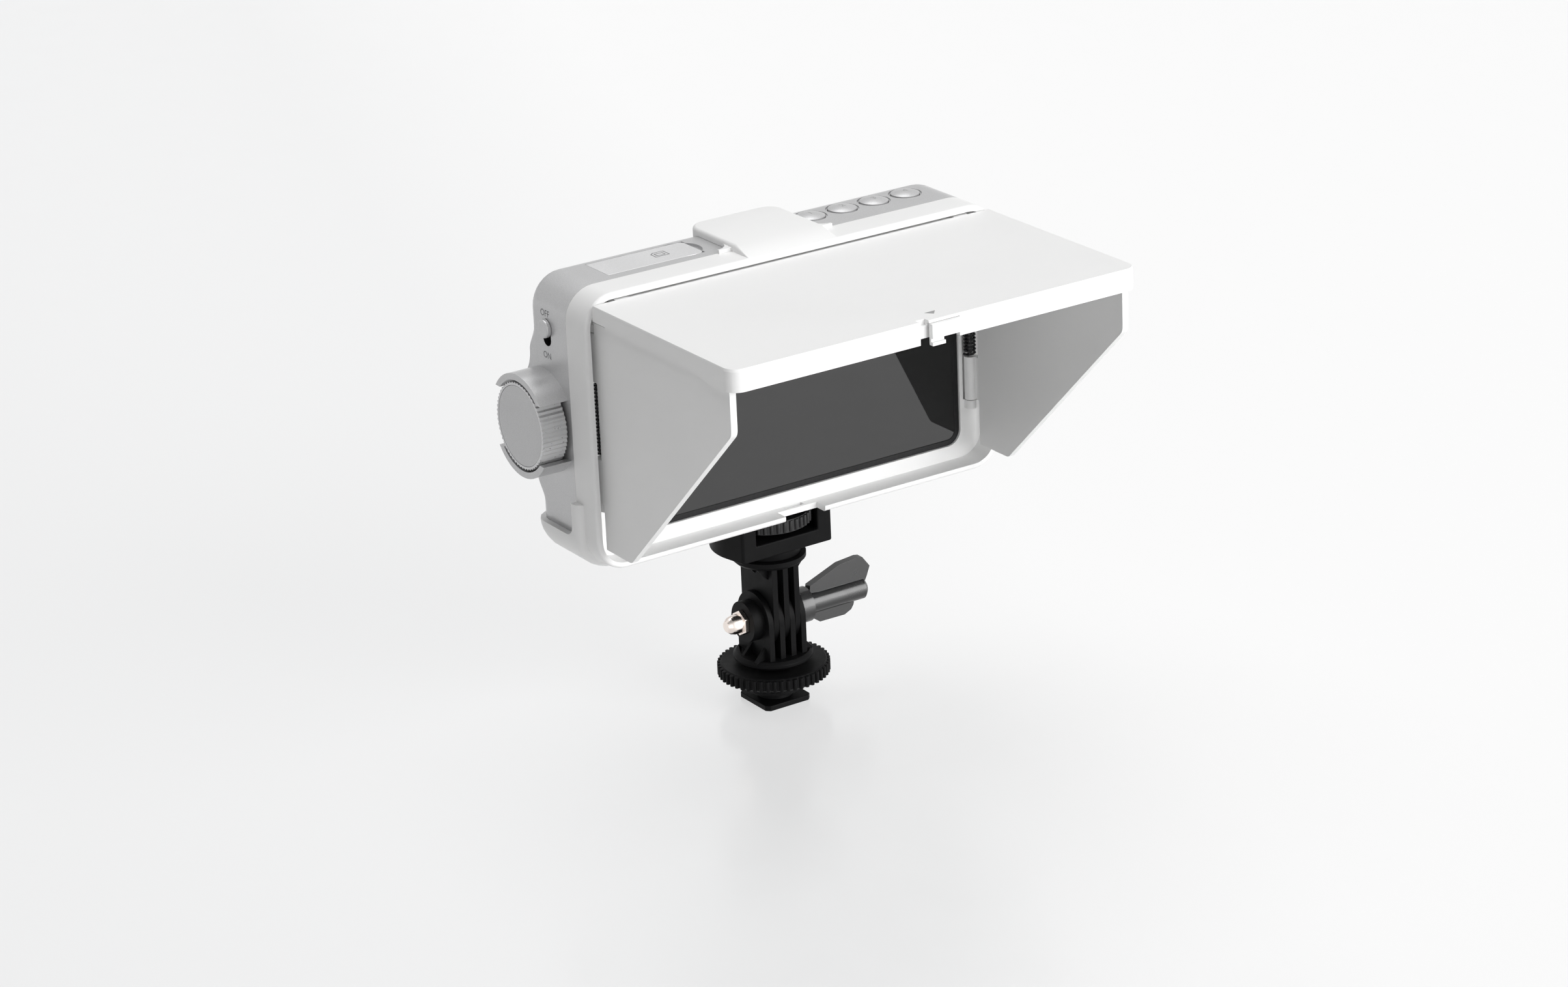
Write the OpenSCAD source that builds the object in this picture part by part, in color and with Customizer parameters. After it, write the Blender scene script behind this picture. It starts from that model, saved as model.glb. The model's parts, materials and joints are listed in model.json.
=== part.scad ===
/* [Hood frame] */
// Outer width of the hood frame and of the monitor body
frame_w = 163.2; // [161.2:0.2:176]
// Outer height of the hood frame and of the monitor body
frame_h = 95.3; // [91:0.1:104]
// Corner radius seen from the front
frame_corner = 11; // [8.5:0.5:12]
// Wall of the tray that the folded hood lies in
frame_wall = 2.1; // [1.7:0.1:2.4]
// Depth of the tray from its front lip to the platform round the screen
tray_depth = 8.4; // [8.2:0.1:10]
// Thickness of the platform
platform_t = 2.3; // [1.6:0.1:3]
// Length of the skirt behind the platform
skirt_depth = 1.3; // [0.8:0.1:2.5]
// Width of the platform beside the screen
platform_side = 8.6; // [8.4:0.1:11]
// Width of the platform above and below the screen
platform_end = 5.1; // [4.6:0.1:7]
// Corner radius of the opening
opening_corner = 5.5; // [3:0.5:8]
// Width of the finger notch in the lower lip
finger_notch_w = 16; // [12:0.5:24]

/* [Lid] */
// Gap between the lid's sides and the tray
lid_side_gap = 0.7; // [0.5:0.1:0.9]
// Thickness of the lid's plate
lid_t = 1.9; // [1.5:0.1:1.9]
// Height of the rims along the lid's sides
side_rim_h = 5.2; // [4:0.1:5.5]
// Height of the rim along the lid's front
front_rim_h = 7.5; // [6.5:0.1:7.5]
// Radius of the lid's front corners
lid_corner = 5; // [3:0.5:6]

/* [Wings] */
// Thickness of a wing
wing_t = 2.4; // [1.8:0.1:2.4]
// Distance of a wing's front edge behind the lid's front
wing_short = 4; // [3.6:0.1:16]
// Height above the frame's foot where a wing's front edge starts to slope
wing_slope_z = 70.2; // [50:0.2:74]
// Reach of a wing along its lower edge
wing_tip_reach = 13.8; // [8:0.2:20]
// Height of a wing's lower edge above the frame's foot
wing_low_z = 7.45; // [6:0.05:12]
// Wire diameter of a wing's torsion spring
spring_wire = 0.85; // [0.7:0.01:0.87]
// Outer diameter of a wing's torsion spring
spring_od = 4.5; // [4.1:0.1:4.7]
// Rise of the spring's coil in one turn
spring_pitch = 1.31; // [1.3:0.01:1.5]
// Number of turns of the spring
spring_turns = 19; // [12:1:19]

/* [Monitor body] */
// Depth of the monitor body behind the hood frame
body_depth = 24.5; // [23.5:0.1:30]
// Wall of the monitor body
body_wall = 2; // [1.5:0.1:2.5]
// Radius of the body's rear edges
body_edge = 5; // [3:0.5:6]
// Width of the black border round the glass
border_w = 2.1; // [1.5:0.1:3]
// Thickness of the screen's glass
glass_t = 1.1; // [0.7:0.1:1.3]

/* [Dial and buttons] */
// Diameter of the dial
dial_d = 30; // [24:0.5:31]
// Length of the dial outside the body
dial_len = 10.4; // [8:0.1:14]
// Number of grooves round the dial
dial_teeth = 56; // [40:2:64]
// Thickness of the guards round the dial
guard_t = 2.2; // [1.6:0.1:3]
// Diameter of a top button
button_d = 10; // [7:0.5:10.5]
// Distance from one top button to the next
button_pitch = 13; // [12.5:0.1:13.5]
// How far a top button stands out
button_rise = 1.1; // [0.9:0.1:2]
// Length of the card door
door_len = 37.2; // [34:0.2:40]

/* [Mount] */
// Width of the accessory shoe foot
foot_w = 18.5; // [18.3:0.05:18.6]
// Thickness of the accessory shoe foot
foot_t = 2; // [1.9:0.05:2]
// Diameter of the locking ring
ring_d = 39.4; // [30:0.2:42]
// Height of the locking ring
ring_h = 4.7; // [3:0.1:6]
// Number of ribs round the locking ring
ring_ribs = 50; // [30:2:56]
// Height of the tilt pivot above the base disc
pivot_rise = 12.9; // [12.5:0.1:18]
// Height of the head disc above the tilt pivot
head_rise = 20.7; // [18:0.1:26]
// Depth of the knuckles' fingers
finger_depth = 20; // [15:0.5:21]
// Thickness of a knuckle's finger
finger_t = 2.1; // [1.6:0.1:2.6]
// Width of the mount block's front face
block_w = 36.4; // [30:0.2:42]
// Height of the mount block
block_h = 16; // [14:0.1:20]
// Diameter of the thumbwheel
wheel_d = 30.8; // [26:0.2:33]
// Number of ribs round the thumbwheel
wheel_ribs = 40; // [24:2:44]
// Diameter of the camera thread
thread_d = 6.35; // [6:0.05:6.5]

/* [Hidden] */
$fn = 48;

// Shared clearances
cut = 1;              // overrun of every cut
seat = 0.05;          // between flat faces that touch
fit = 0.15;           // between pieces that slide or lie in a recess
run = 0.05;           // radial, round a shaft that turns
skin = 0.02;          // thickness of the slices that a rounded form is drawn over
form_fn = 32;         // sides of the rounded corners of such a form
edge_steps = 4;       // slices over a rounded edge

// Mount, from the foot up
foot_corner = 1.4;
neck_d = 12.2;
neck_h = 1.2;
washer_gap = 1.5;
washer_d = 17;
washer_flange_d = 20;
washer_flange_h = 1.4;
washer_h = 5.2;
washer_foot_z = foot_t + neck_h + washer_gap;
ring_z = washer_foot_z + washer_h + seat;
ring_rib_r = 0.75;
ring_dish = 1;
stud_d = 10;
stud_thread_top = 1.2;
base_gap = 0.9;
base_d = 27.8;
base_h = 3.2;
base_z = ring_z + ring_h + base_gap;
base_top = base_z + base_h;
base_edge = 1.1;
pivot_z = base_top + pivot_rise;
finger_gap = 0.1;
finger_step = finger_t + finger_gap;
finger_r = finger_depth / 2;
bolt_d = 5;
boss_d = 14.7;
boss_len = 4.2;
boss_x = finger_step * 3 + finger_t / 2;
nut_flats = 8;
nut_len = 3.6;
nut_in = 1.6;
dome_d = 6.8;
dome_len = 5.4;
dome_flat_d = 3.6;
gusset_t = 1.3;
gusset_run = 4;
gusset_rise = 4.4;
gusset_back = 6;
disc_d = 25.7;
disc_h = 2.7;
disc_z = pivot_z + head_rise;
neck_top_d = 22;
neck_top_h = 3.3;
block_z = disc_z + disc_h + neck_top_h;
block_front = 12.3;
block_round_share = 0.5577;
block_round = block_round_share * block_w;
block_edge = 1.2;
window_w = 25;
window_low = 5.3;
window_h = 8.7;
wheel_floor_gap = 3;
wheel_low = window_low + wheel_floor_gap;
wheel_h = 4.5;
wheel_rib_r = 0.7;
wheel_room = 0.9;
screw_d = 5;
screw_head_d = 9;
screw_head_h = 2.4;
screw_seat = 2.9;
pad_t = 0.5;
pad_d = 30;
monitor_z = block_z + block_h + pad_t + seat;
stud_rise = 5.6;
stud_core_h = 2;

// Clamp knob, along its axis from the pivot's middle
knob_x = finger_step * 3 + finger_t / 2 + finger_gap;
knob_collar_r = 6.3;
knob_collar_len = 6.6;
knob_barrel_r = 4;
knob_end_x = 38.7;
knob_end_round = 1.2;
knob_wing_t = 3;
knob_reach = 40.6;
knob_wing_h = 12.2;
// Outlines of the two wings, as shares of the knob's reach and of the tall wing's height
wing_up_share = [[0.369, 0.328], [0.379, 0.549], [0.692, 0.943], [0.882, 1], [0.926, 0.975],
    [1, 0.648], [0.966, 0.361], [0.936, 0.164]];
wing_down_share = [[0.394, -0.246], [0.389, -0.434], [0.468, -0.623], [0.724, -0.631],
    [0.793, -0.525], [0.818, -0.402], [0.837, -0.164]];

// Places of the monitor, measured from the frame's front lip and foot
swivel_y = 24.3;
frame_depth = tray_depth + platform_t + skirt_depth;
lip_round = 1.1;
mid_z = frame_h / 2;
body_y = frame_depth + seat;
body_back = body_y + body_depth;
tray_w = frame_w - 2 * frame_wall;
tray_h = frame_h - 2 * frame_wall;
tray_corner = frame_corner - frame_wall;
side_x = frame_w / 2;
opening_w = tray_w - 2 * platform_side;
opening_h = tray_h - 2 * platform_end;

// Clip tab over the top and hooks round the lower corners
tab_w = 35;
tab_t = 2.5;
tab_front = 4.5;
tab_drop = 7.5;
tab_back_t = 2.8;
tab_corner = 6;
tab_edge = 1.2;
tab_fillet = 5;
hook_t = 2.3;
hook_top = 10.4;
hook_fillet = 4;
hook_inner_x = 63;
hook_edge = 8;

// Hinge of the lid
lid_top_gap = 0.475;
lid_top = frame_h - frame_wall - lid_top_gap;
lid_axis_y = 3.9;
lid_axis_z = lid_top - lid_axis_y;
lid_back = 5.4;
lid_foot_gap = 0.2;
lid_reach = lid_axis_z - lid_axis_y - frame_wall - lid_foot_gap;
lid_w = tray_w - 2 * lid_side_gap;
lid_inner_corner = 2;
lid_half = lid_w / 2;
lid_barrel_r = 2.15;
lid_pin_r = 0.8;
lid_lug_in = [9.5, 6.3];
lid_barrel_in = [13.1, 2.9];
lid_lug_x = [for (k = lid_lug_in) tray_w / 2 - k];
lid_barrel_x = [for (k = lid_barrel_in) tray_w / 2 - k];
lid_rim_t = 1.4;
lid_front_rim_t = 1.8;
lid_edge = 0.8;
lid_step_side = 15.2;
lid_step_w = tray_w - 2 * lid_step_side;
lid_step_h = 0.6;
lid_step_y = 0.5;
lid_notch_front = 0.7;
rim_rise_run = 4;
rim_back = 1;

// Latch in the lid's front rim
latch_x = [-4.6, 6.9];
latch_pocket_x = [-8.1, 7.1];
latch_pin_r = 0.8;
latch_pin_x = [-2, 4.5];
latch_pin_len = 3.2;
latch_front = 1.7;
latch_t = 1.9;
latch_pocket_t = 1.1;
latch_drop = 0.8;
latch_nose_h = 1.7;
latch_nose_w = 5;
latch_neck_h = 1.1;
latch_notch_h = 2.6;
slot_w = 7.2;
slot_y = [6.2, 8.3];
finger_notch_y = 5.1;

// Hinges of the wings
wing_axis_in = 4.7;
wing_axis_x = tray_w / 2 - wing_axis_in;
wing_axis_y = [4.5, 7.2];
wing_rear_y = [1.7, 2.6];
wing_off = 0.05;
wing_top_gap = 0.4;
wing_lid_gap = 0.3;
wing_top_z = lid_axis_z - lid_barrel_r - wing_top_gap;
wing_high_z = lid_top - lid_t - wing_lid_gap;
wing_reach = lid_reach - wing_short;
barrel_r = 2.15;
pin_r = 0.9;
barrel_gap = 0.2;
spring_gap = 0.4;
lug_low_z = [20, 23];
barrel_low_h = 15.6;
barrel_low_z = [lug_low_z[1] + barrel_gap, lug_low_z[1] + barrel_gap + barrel_low_h];
lug_high_in = [4, 1.4];
lug_high_z = [for (k = lug_high_in) wing_top_z - k];
spring_low_z = barrel_low_z[1] + spring_gap + spring_wire / 2;
barrel_high_z = [spring_low_z + spring_pitch * spring_turns + spring_wire / 2 + spring_gap,
    lug_high_z[0] - barrel_gap];
pin_in_lug = [1, 0.6];
pin_low_z = lug_low_z[0] + pin_in_lug[0];
pin_high_z = lug_high_z[1] - pin_in_lug[1];
wing_tip_r = 3;
wing_front_r = 4;
wing_clear = 1;
corner_steps = 6;
pocket_r = 2.5;
pocket_depth = 1.4;
spring_r = (spring_od - spring_wire) / 2;
spring_sides = 6;
spring_rings = 8;
spring_leg = 1;

// Dial
dial_y = 28;
dial_drop = 0.85;
dial_z = mid_z - dial_drop;
dial_r = dial_d / 2;
dial_groove = 0.55;
dial_gap = 1.2;
guard_gap = 0.65;
guard_in = dial_r + guard_gap;
guard_out = guard_in + guard_t;
guard_over = 0.1;
guard_len = dial_len + guard_over;
guard_open = 10.5;
pod_over = 0.3;
pod_r = guard_out + pod_over;
pod_len = 18;
pod_wall = 2;
pod_blend = 12;
cap_d = 27.6;
cap_t = 1.2;
shaft_r = 3;
shaft_in = 5;
encoder_s = 13;
encoder_len = 7;
encoder_bush_r = 4.6;
encoder_bush_len = 1.6;

// Power slider
slider_y = 24.6;
slider_from_top = 17.5;
slider_z = frame_h - slider_from_top;
slider_slot_w = 5;
slider_slot_h = 9.4;
slider_d = 4.6;
slider_rise = 1.5;
slider_travel = 4.2;
slider_plate = [0.8, 7.4, 12];
switch_size = [4.6, 7, 14];

// Top buttons
button_x = 23.7;
button_from_back = 10.65;
button_y = body_back - button_from_back;
button_gap = 0.2;
button_stem_h = 3.6;
button_flange = 0.7;
button_flange_h = 0.8;
button_dome = 0.9;
button_dish_d = 11.6;
button_dish = 0.5;
button_travel = 0.7;
button_board_size = [54, 12, 1];
dome_switch_d = 5;
dome_switch_h = 0.9;

// Card door
door_from_side = 19.6;
door_x = door_from_side - side_x;
door_in_y = [4.35, 5.95];
door_y = [body_y + door_in_y[0], body_back - door_in_y[1]];
door_t = 1.5;
door_corner = 2;
door_gap = 0.15;
door_axis_in = 1.7;
door_axis_low = 1.15;
door_pin_r = 0.5;
door_pocket_r = 2.2;
door_rim = 1.6;
door_boss_t = 1;
door_boss_z = frame_h - door_axis_low - door_pocket_r - door_boss_t;
nail_r = 7.6;
nail_out = 2.4;
nail_depth = 0.9;
slot_len = 26;
slot_t = 3.6;
card_socket_size = [29, 5.6, 20];
card_socket_floor = 2;

// Screen stack behind the opening
bezel_w = opening_w - 2 * fit;
bezel_h = opening_h - 2 * fit;
glass_w = bezel_w - 2 * border_w;
glass_h = bezel_h - 2 * border_w;
bezel_t = 1.4;
bezel_sink = 0.7;
bezel_y = tray_depth + bezel_sink;
glass_sink = 0.15;
glass_y = bezel_y + glass_sink;
glass_corner = 3;
glass_gap = 0.1;
shell_y = tray_depth + platform_t + seat;
shell_t = 2.2;
shell_w = frame_w - 2 * frame_wall - 2 * fit;
shell_h = frame_h - 2 * frame_wall - 2 * fit;
lcd_in = [3.9, 2.45];
lcd_w = opening_w - 2 * lcd_in[0];
lcd_h = opening_h - 2 * lcd_in[1];
lcd_y = bezel_y + bezel_t + seat;
lcd_t = 1.6;
light_t = 2.2;
light_y = lcd_y + lcd_t + seat;
chassis_y = light_y + light_t + seat;
chassis_t = 1.2;
chassis_in = [6.6, 5.65];
chassis_w = frame_w - 2 * chassis_in[0];
chassis_h = frame_h - 2 * chassis_in[1];
board_in = [22.6, 14.65];
board_w = frame_w - 2 * board_in[0];
board_h = frame_h - 2 * board_in[1];
board_t = 1.6;
board_stand = 3;
board_y = chassis_y + chassis_t + board_stand;
chip_t = 1.6;
chip_main = 15;
chip_small = [8, 10];
chip_step = 22;
can_r = 2.6;
can_h = 4.2;
can_in = 10;
can_step = 8;
can_count = 4;
connector_size = [18, 2.4, 5];
connector_in = 26;
connector_gap = 1;
spreader_size = [60, 2.4, 42];
spreader_y = board_y + board_t + chip_t + seat;
fin_h = 2.6;
fin_t = 1.2;
fin_step = 3.6;
insert_d = 11;
insert_len = 8.5;
insert_boss_d = 15;
post_d = 7;
post_in_x = 11.6;
post_in_z = [11, 10.8];
post_x = [post_in_x - side_x, side_x - post_in_x];
post_z = [post_in_z[0], frame_h - post_in_z[1]];
house_screw_d = 2.6;
house_screw_head_d = 4.8;
house_screw_head_h = 1.8;
house_screw_in = 0.8;
house_screw_y0 = shell_y + house_screw_in;

// Battery plate on the back
plate_w = 40;
plate_t = 4.2;
plate_x = 12;
plate_z = 12;
plate_top_gap = 3.8;
plate_h = frame_h - tab_drop - plate_top_gap - plate_z;
plate_corner = 3;
plate_rail = 2;
plate_slot_w = 4;
plate_slot_h = 7;
plate_slot_d = 2.2;
plate_screw_in = 6;
plate_screw_d = 2.4;
plate_screw_head_d = 4.6;
plate_screw_head_h = 1.4;
plate_screw_len = 6.4;
contact_size = [22, 3, 7];
contact_blade = [0.8, 2.2, 5];
contact_step = 4.5;
contact_from_top = 14;
contact_blade_z = 1;
release_size = [9, 3.4, 7];
release_travel = 2.6;
release_rib = [0.5, 0.7];
release_rib_z = 1;
release_rib_step = 1.5;

// Sockets on the right side: a flat one for video, round ones for power and sound
socket_y = 24;
socket_len = 7;
socket_wall = 0.7;
video_over_mid = 2.35;
video_z = mid_z + video_over_mid;
video_w = 5.2;
video_h = 14.6;
jack_from_top = 23.3;
jack_z = [24, frame_h - jack_from_top];
jack_r = [2.75, 1.8];
jack_wall = 1.6;
jack_len = 9;
jack_depth = 8;
vent_count = 9;
vent_w = 1.8;
vent_len = 14;
vent_step = 4;
vent_x = -46;
vent_z = 76;
speaker_d = 15;
speaker_t = 4;
speaker_x = -52;
speaker_z = 22;
speaker_hole_d = 1.4;
speaker_hole_step = 2.6;

// Colours as the photograph shows them
white = [0.93, 0.93, 0.92];
silver = [0.66, 0.66, 0.67];
black = [0.06, 0.06, 0.065];
steel = [0.75, 0.73, 0.70];
brass = [0.72, 0.58, 0.33];
board_green = [0.08, 0.3, 0.16];

// Moves what is drawn in the monitor's own places up onto the mount
module on_mount() {
    translate([0, -swivel_y, monitor_z]) children();
}

// Rectangle with round corners, centred
module round_rect(w, h, r) {
    square([w - 2 * r, h], center = true);
    square([w, h - 2 * r], center = true);
    for (sx = [-1, 1], sy = [-1, 1])
        translate([sx * (w / 2 - r), sy * (h / 2 - r)]) circle(r);
}

// Plate that faces front: its outline lies in x and z, and it reaches from y0 to y1
module front_plate(y0, y1, mid_height = mid_z) {
    translate([0, y1, mid_height]) rotate([90, 0, 0]) linear_extrude(y1 - y0) children();
}

// Cylinders along x and y
module rod_x(r, x0, x1) {
    translate([x0, 0, 0]) rotate([0, 90, 0]) cylinder(r = r, h = x1 - x0);
}
module rod_y(r, y0, y1) {
    translate([0, y0, 0]) rotate([-90, 0, 0]) cylinder(r = r, h = y1 - y0);
}

// Prism along x whose outline is drawn in y and z
module side_prism(x0, x1) {
    translate([x0, 0, 0]) rotate([90, 0, 90]) linear_extrude(x1 - x0) children();
}

// Box with rounded corners seen from the front and rounded front or rear edges
module soft_box(w, h, corner, y0, y1, front_r, back_r) {
    hull() {
        for (i = [0 : edge_steps]) {
            a = 90 * i / edge_steps;
            if (front_r > 0)
                soft_slice(w, h, corner, y0 + front_r * (1 - sin(a)), front_r * (1 - cos(a)));
            if (back_r > 0)
                soft_slice(w, h, corner, y1 - back_r * (1 - sin(a)) - skin, back_r * (1 - cos(a)));
        }
        if (front_r == 0) soft_slice(w, h, corner, y0, 0);
        if (back_r == 0) soft_slice(w, h, corner, y1 - skin, 0);
    }
}
module soft_slice(w, h, corner, y, inset) {
    front_plate(y, y + skin)
        round_rect(w - 2 * inset, h - 2 * inset, max(corner - inset, skin), $fn = form_fn);
}

// The monitor body's outer form, grown by a clearance
module body_form(grow) {
    soft_box(frame_w + 2 * grow, frame_h + 2 * grow, frame_corner + grow,
        body_y - grow, body_back + grow, 0, body_edge + grow);
}

// Star outline of a knurled rim
module knurl(r, depth, count) {
    polygon([for (i = [0 : 2 * count - 1])
        let (a = 180 * i / count, q = r - (i % 2) * depth) [q * cos(a), q * sin(a)]]);
}

// Round ribs standing round a rim
module rib_ring(r, rib_r, count, z0, z1) {
    for (i = [0 : count - 1]) rotate([0, 0, 360 * i / count])
        translate([r - rib_r, 0, z0]) cylinder(r = rib_r, h = z1 - z0, $fn = 16);
}

// The mount's pieces, drawn round the swivel's axis from the foot's underside up

module shoe_foot() {
    color(black) {
        linear_extrude(foot_t) foot_outline();
        translate([0, 0, foot_t]) cylinder(d = neck_d, h = neck_h);
        translate([0, 0, foot_t + neck_h])
            cylinder(d = stud_d, h = base_z + base_h - stud_thread_top - foot_t - neck_h);
    }
}
module foot_outline() {
    half = foot_w / 2;
    polygon([[-half + foot_corner, -half], [half - foot_corner, -half], [half, -half + foot_corner],
        [half, half - foot_corner], [half - foot_corner, half], [-half + foot_corner, half],
        [-half, half - foot_corner], [-half, -half + foot_corner]]);
}

module shoe_washer() {
    color(black) difference() {
        translate([0, 0, washer_foot_z]) union() {
            cylinder(d = washer_flange_d, h = washer_flange_h);
            cylinder(d = washer_d, h = washer_h);
        }
        translate([0, 0, washer_foot_z - cut]) cylinder(r = stud_d / 2 + run, h = washer_h + 2 * cut);
    }
}

module locking_ring() {
    r = ring_d / 2;
    color(black) translate([0, 0, ring_z]) difference() {
        union() {
            rotate_extrude() polygon([[0, 0], [r - 2 * ring_rib_r, 0], [r - ring_rib_r, ring_rib_r],
                [r - ring_rib_r, ring_h - ring_rib_r], [r - 2 * ring_rib_r, ring_h],
                [0, ring_h - ring_dish]]);
            rib_ring(r, ring_rib_r, ring_ribs, ring_rib_r / 2, ring_h - ring_rib_r / 2);
        }
        translate([0, 0, -cut]) cylinder(r = stud_d / 2 + run, h = ring_h + 2 * cut);
    }
}

// One finger of a knuckle, from the pivot up or down to z1
module finger(x, z1, grow = 0) {
    side_prism(x - finger_t / 2 - grow, x + finger_t / 2 + grow) {
        translate([0, pivot_z]) circle(finger_r - grow);
        translate([-finger_r + grow, min(z1, pivot_z)]) square([finger_depth - 2 * grow, abs(z1 - pivot_z)]);
    }
}

module knuckle_base() {
    color(black) difference() {
        union() {
            translate([0, 0, base_z]) rotate_extrude() polygon([[0, 0], [base_d / 2 - base_edge, 0],
                [base_d / 2, base_edge], [base_d / 2, base_h - base_edge],
                [base_d / 2 - base_edge, base_h], [0, base_h]]);
            for (i = [-3, -1, 1, 3]) finger(i * finger_step, base_top - base_edge);
            translate([0, 0, pivot_z]) rod_x(boss_d / 2, -boss_x - boss_len, -boss_x);
            for (s = [-1, 1]) side_gusset(s, base_top, 1);
        }
        translate([0, 0, pivot_z]) rod_x(bolt_d / 2 + run, -boss_x - boss_len - cut, boss_x + cut);
        translate([-boss_x - boss_len - cut, 0, pivot_z]) rotate([0, 90, 0])
            cylinder(d = (nut_flats + 2 * fit) / cos(30), h = boss_len - nut_in + cut, $fn = 6);
        translate([0, 0, base_z - cut])
            cylinder(r = stud_d / 2 + run, h = base_h - stud_thread_top + cut);
    }
}

// Pair of small ribs between a disc and the outer finger beside it
module side_gusset(s, z, up) {
    for (y = [-gusset_back, gusset_back / 3])
        translate([s * (up > 0 ? boss_x : finger_step * 2 + finger_t / 2), y, z])
            rotate([90, 0, 0]) linear_extrude(gusset_t)
                polygon([[-s * seat, -up * base_edge], [s * gusset_run, -up * base_edge],
                    [s * gusset_run, 0], [0, up * gusset_rise], [-s * seat, up * gusset_rise]]);
}

module pivot_nut() {
    x0 = -boss_x - boss_len + nut_len - nut_in - nut_len;
    color(steel) translate([0, 0, pivot_z]) difference() {
        union() {
            translate([x0, 0, 0]) rotate([0, 90, 0]) cylinder(d = nut_flats / cos(30), h = nut_len, $fn = 6);
            translate([x0, 0, 0]) rotate([0, -90, 0]) rotate_extrude() polygon([[0, -seat],
                [dome_d / 2, -seat], [dome_d / 2, dome_len * 0.45], [dome_d * 0.43, dome_len * 0.75],
                [dome_flat_d / 2, dome_len], [0, dome_len]]);
        }
        rod_x(bolt_d / 2 + run, x0 - dome_len / 2, x0 + nut_len + cut);
    }
}

module knuckle_head() {
    color(black) difference() {
        union() {
            translate([0, 0, disc_z]) rotate_extrude() polygon([[0, 0], [disc_d / 2 - base_edge, 0],
                [disc_d / 2, base_edge], [disc_d / 2, disc_h], [0, disc_h]]);
            for (i = [-2, 0, 2]) finger(i * finger_step, disc_z + base_edge);
            for (s = [-1, 1]) side_gusset(s, disc_z, -1);
        }
        translate([0, 0, pivot_z]) rod_x(bolt_d / 2 + run, -boss_x, boss_x);
        translate([0, 0, disc_z - cut]) cylinder(r = screw_d / 2 + run, h = disc_h + 2 * cut);
    }
}

module pivot_bolt() {
    color(steel) translate([0, 0, pivot_z])
        rod_x(bolt_d / 2, -boss_x - boss_len - nut_in, knob_x + knob_collar_len);
}

module clamp_knob() {
    color(black) translate([0, 0, pivot_z]) difference() {
        union() {
            rod_x(knob_collar_r, knob_x, knob_x + knob_collar_len);
            rotate([0, 90, 0]) rotate_extrude() polygon([[0, knob_x + knob_collar_len - seat],
                [knob_barrel_r, knob_x + knob_collar_len - seat],
                [knob_barrel_r, knob_end_x - knob_end_round],
                [knob_barrel_r - knob_end_round, knob_end_x], [0, knob_end_x]]);
            translate([0, knob_wing_t / 2, 0]) rotate([90, 0, 0]) linear_extrude(knob_wing_t) {
                for (outline = [wing_up_share, wing_down_share])
                    polygon([for (q = outline) [q[0] * knob_reach, q[1] * knob_wing_h]]);
            }
        }
        rod_x(bolt_d / 2, knob_x - cut, knob_x + knob_collar_len);
    }
}

module swivel_screw() {
    color(steel) difference() {
        union() {
            translate([0, 0, disc_z + seat])
                cylinder(d = screw_d, h = block_z + screw_seat - disc_z);
            translate([0, 0, block_z + screw_seat])
                cylinder(d = screw_head_d, h = screw_head_h - fit);
        }
        translate([0, 0, block_z + screw_seat + screw_head_h / 2])
            cylinder(d = screw_head_d / 2 / cos(30), h = screw_head_h, $fn = 6);
    }
}

// Round at the back, with sides that run on to a flat front
module block_outline() {
    right = [block_w / 2, -block_front];
    left = [-block_w / 2, -block_front];
    r = block_round - skin;
    t = atan2(right[1], right[0]) + acos(r / norm(right));
    side = [r * cos(t), r * sin(t)];
    difference() {
        circle(block_round);
        translate([-2 * block_round, -block_front - 4 * block_round]) square(4 * block_round);
    }
    polygon(concat([side], round_corner(side, right, left, block_edge),
        round_corner(right, left, [-side[0], side[1]], block_edge), [[-side[0], side[1]]]));
}

module mount_block() {
    color(black) difference() {
        union() {
            translate([0, 0, block_z]) linear_extrude(block_h) block_outline();
            translate([0, 0, disc_z + disc_h + seat])
                cylinder(d = neck_top_d, h = neck_top_h);
        }
        translate([-window_w / 2, -block_front - cut, block_z + window_low])
            cube([window_w, block_front + cut, window_h]);
        translate([0, 0, block_z + window_low]) cylinder(d = wheel_d + 2 * wheel_room, h = window_h);
        translate([0, 0, block_z + window_low]) cylinder(r = thread_d / 2 + fit, h = block_h);
        translate([0, 0, disc_z]) cylinder(r = screw_d / 2 + run, h = block_h);
        translate([0, 0, block_z + screw_seat])
            cylinder(d = screw_head_d + 2 * fit, h = window_low - screw_seat + cut);
    }
}

module mount_pad() {
    color(black) translate([0, 0, block_z + block_h]) difference() {
        linear_extrude(pad_t) intersection() {
            circle(d = pad_d);
            square([pad_d, 2 * (block_front - block_edge)], center = true);
        }
        translate([0, 0, -cut]) cylinder(r = thread_d / 2 + fit, h = pad_t + 2 * cut);
    }
}

module thumbwheel() {
    r = wheel_d / 2;
    color(black) translate([0, 0, block_z + wheel_low]) difference() {
        union() {
            cylinder(r = r - wheel_rib_r, h = wheel_h);
            rib_ring(r, wheel_rib_r, wheel_ribs, wheel_rib_r / 2, wheel_h - wheel_rib_r / 2);
        }
        translate([0, 0, stud_core_h]) cylinder(d = thread_d, h = wheel_h);
    }
}

module mount_stud() {
    z0 = block_z + wheel_low + stud_core_h;
    color(steel) translate([0, 0, z0]) rotate_extrude() polygon([[0, 0], [thread_d / 2, 0],
        [thread_d / 2, monitor_z + stud_rise - z0 - thread_d / 8],
        [thread_d * 3 / 8, monitor_z + stud_rise - z0], [0, monitor_z + stud_rise - z0]]);
}

// The monitor's pieces, in their own places

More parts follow.
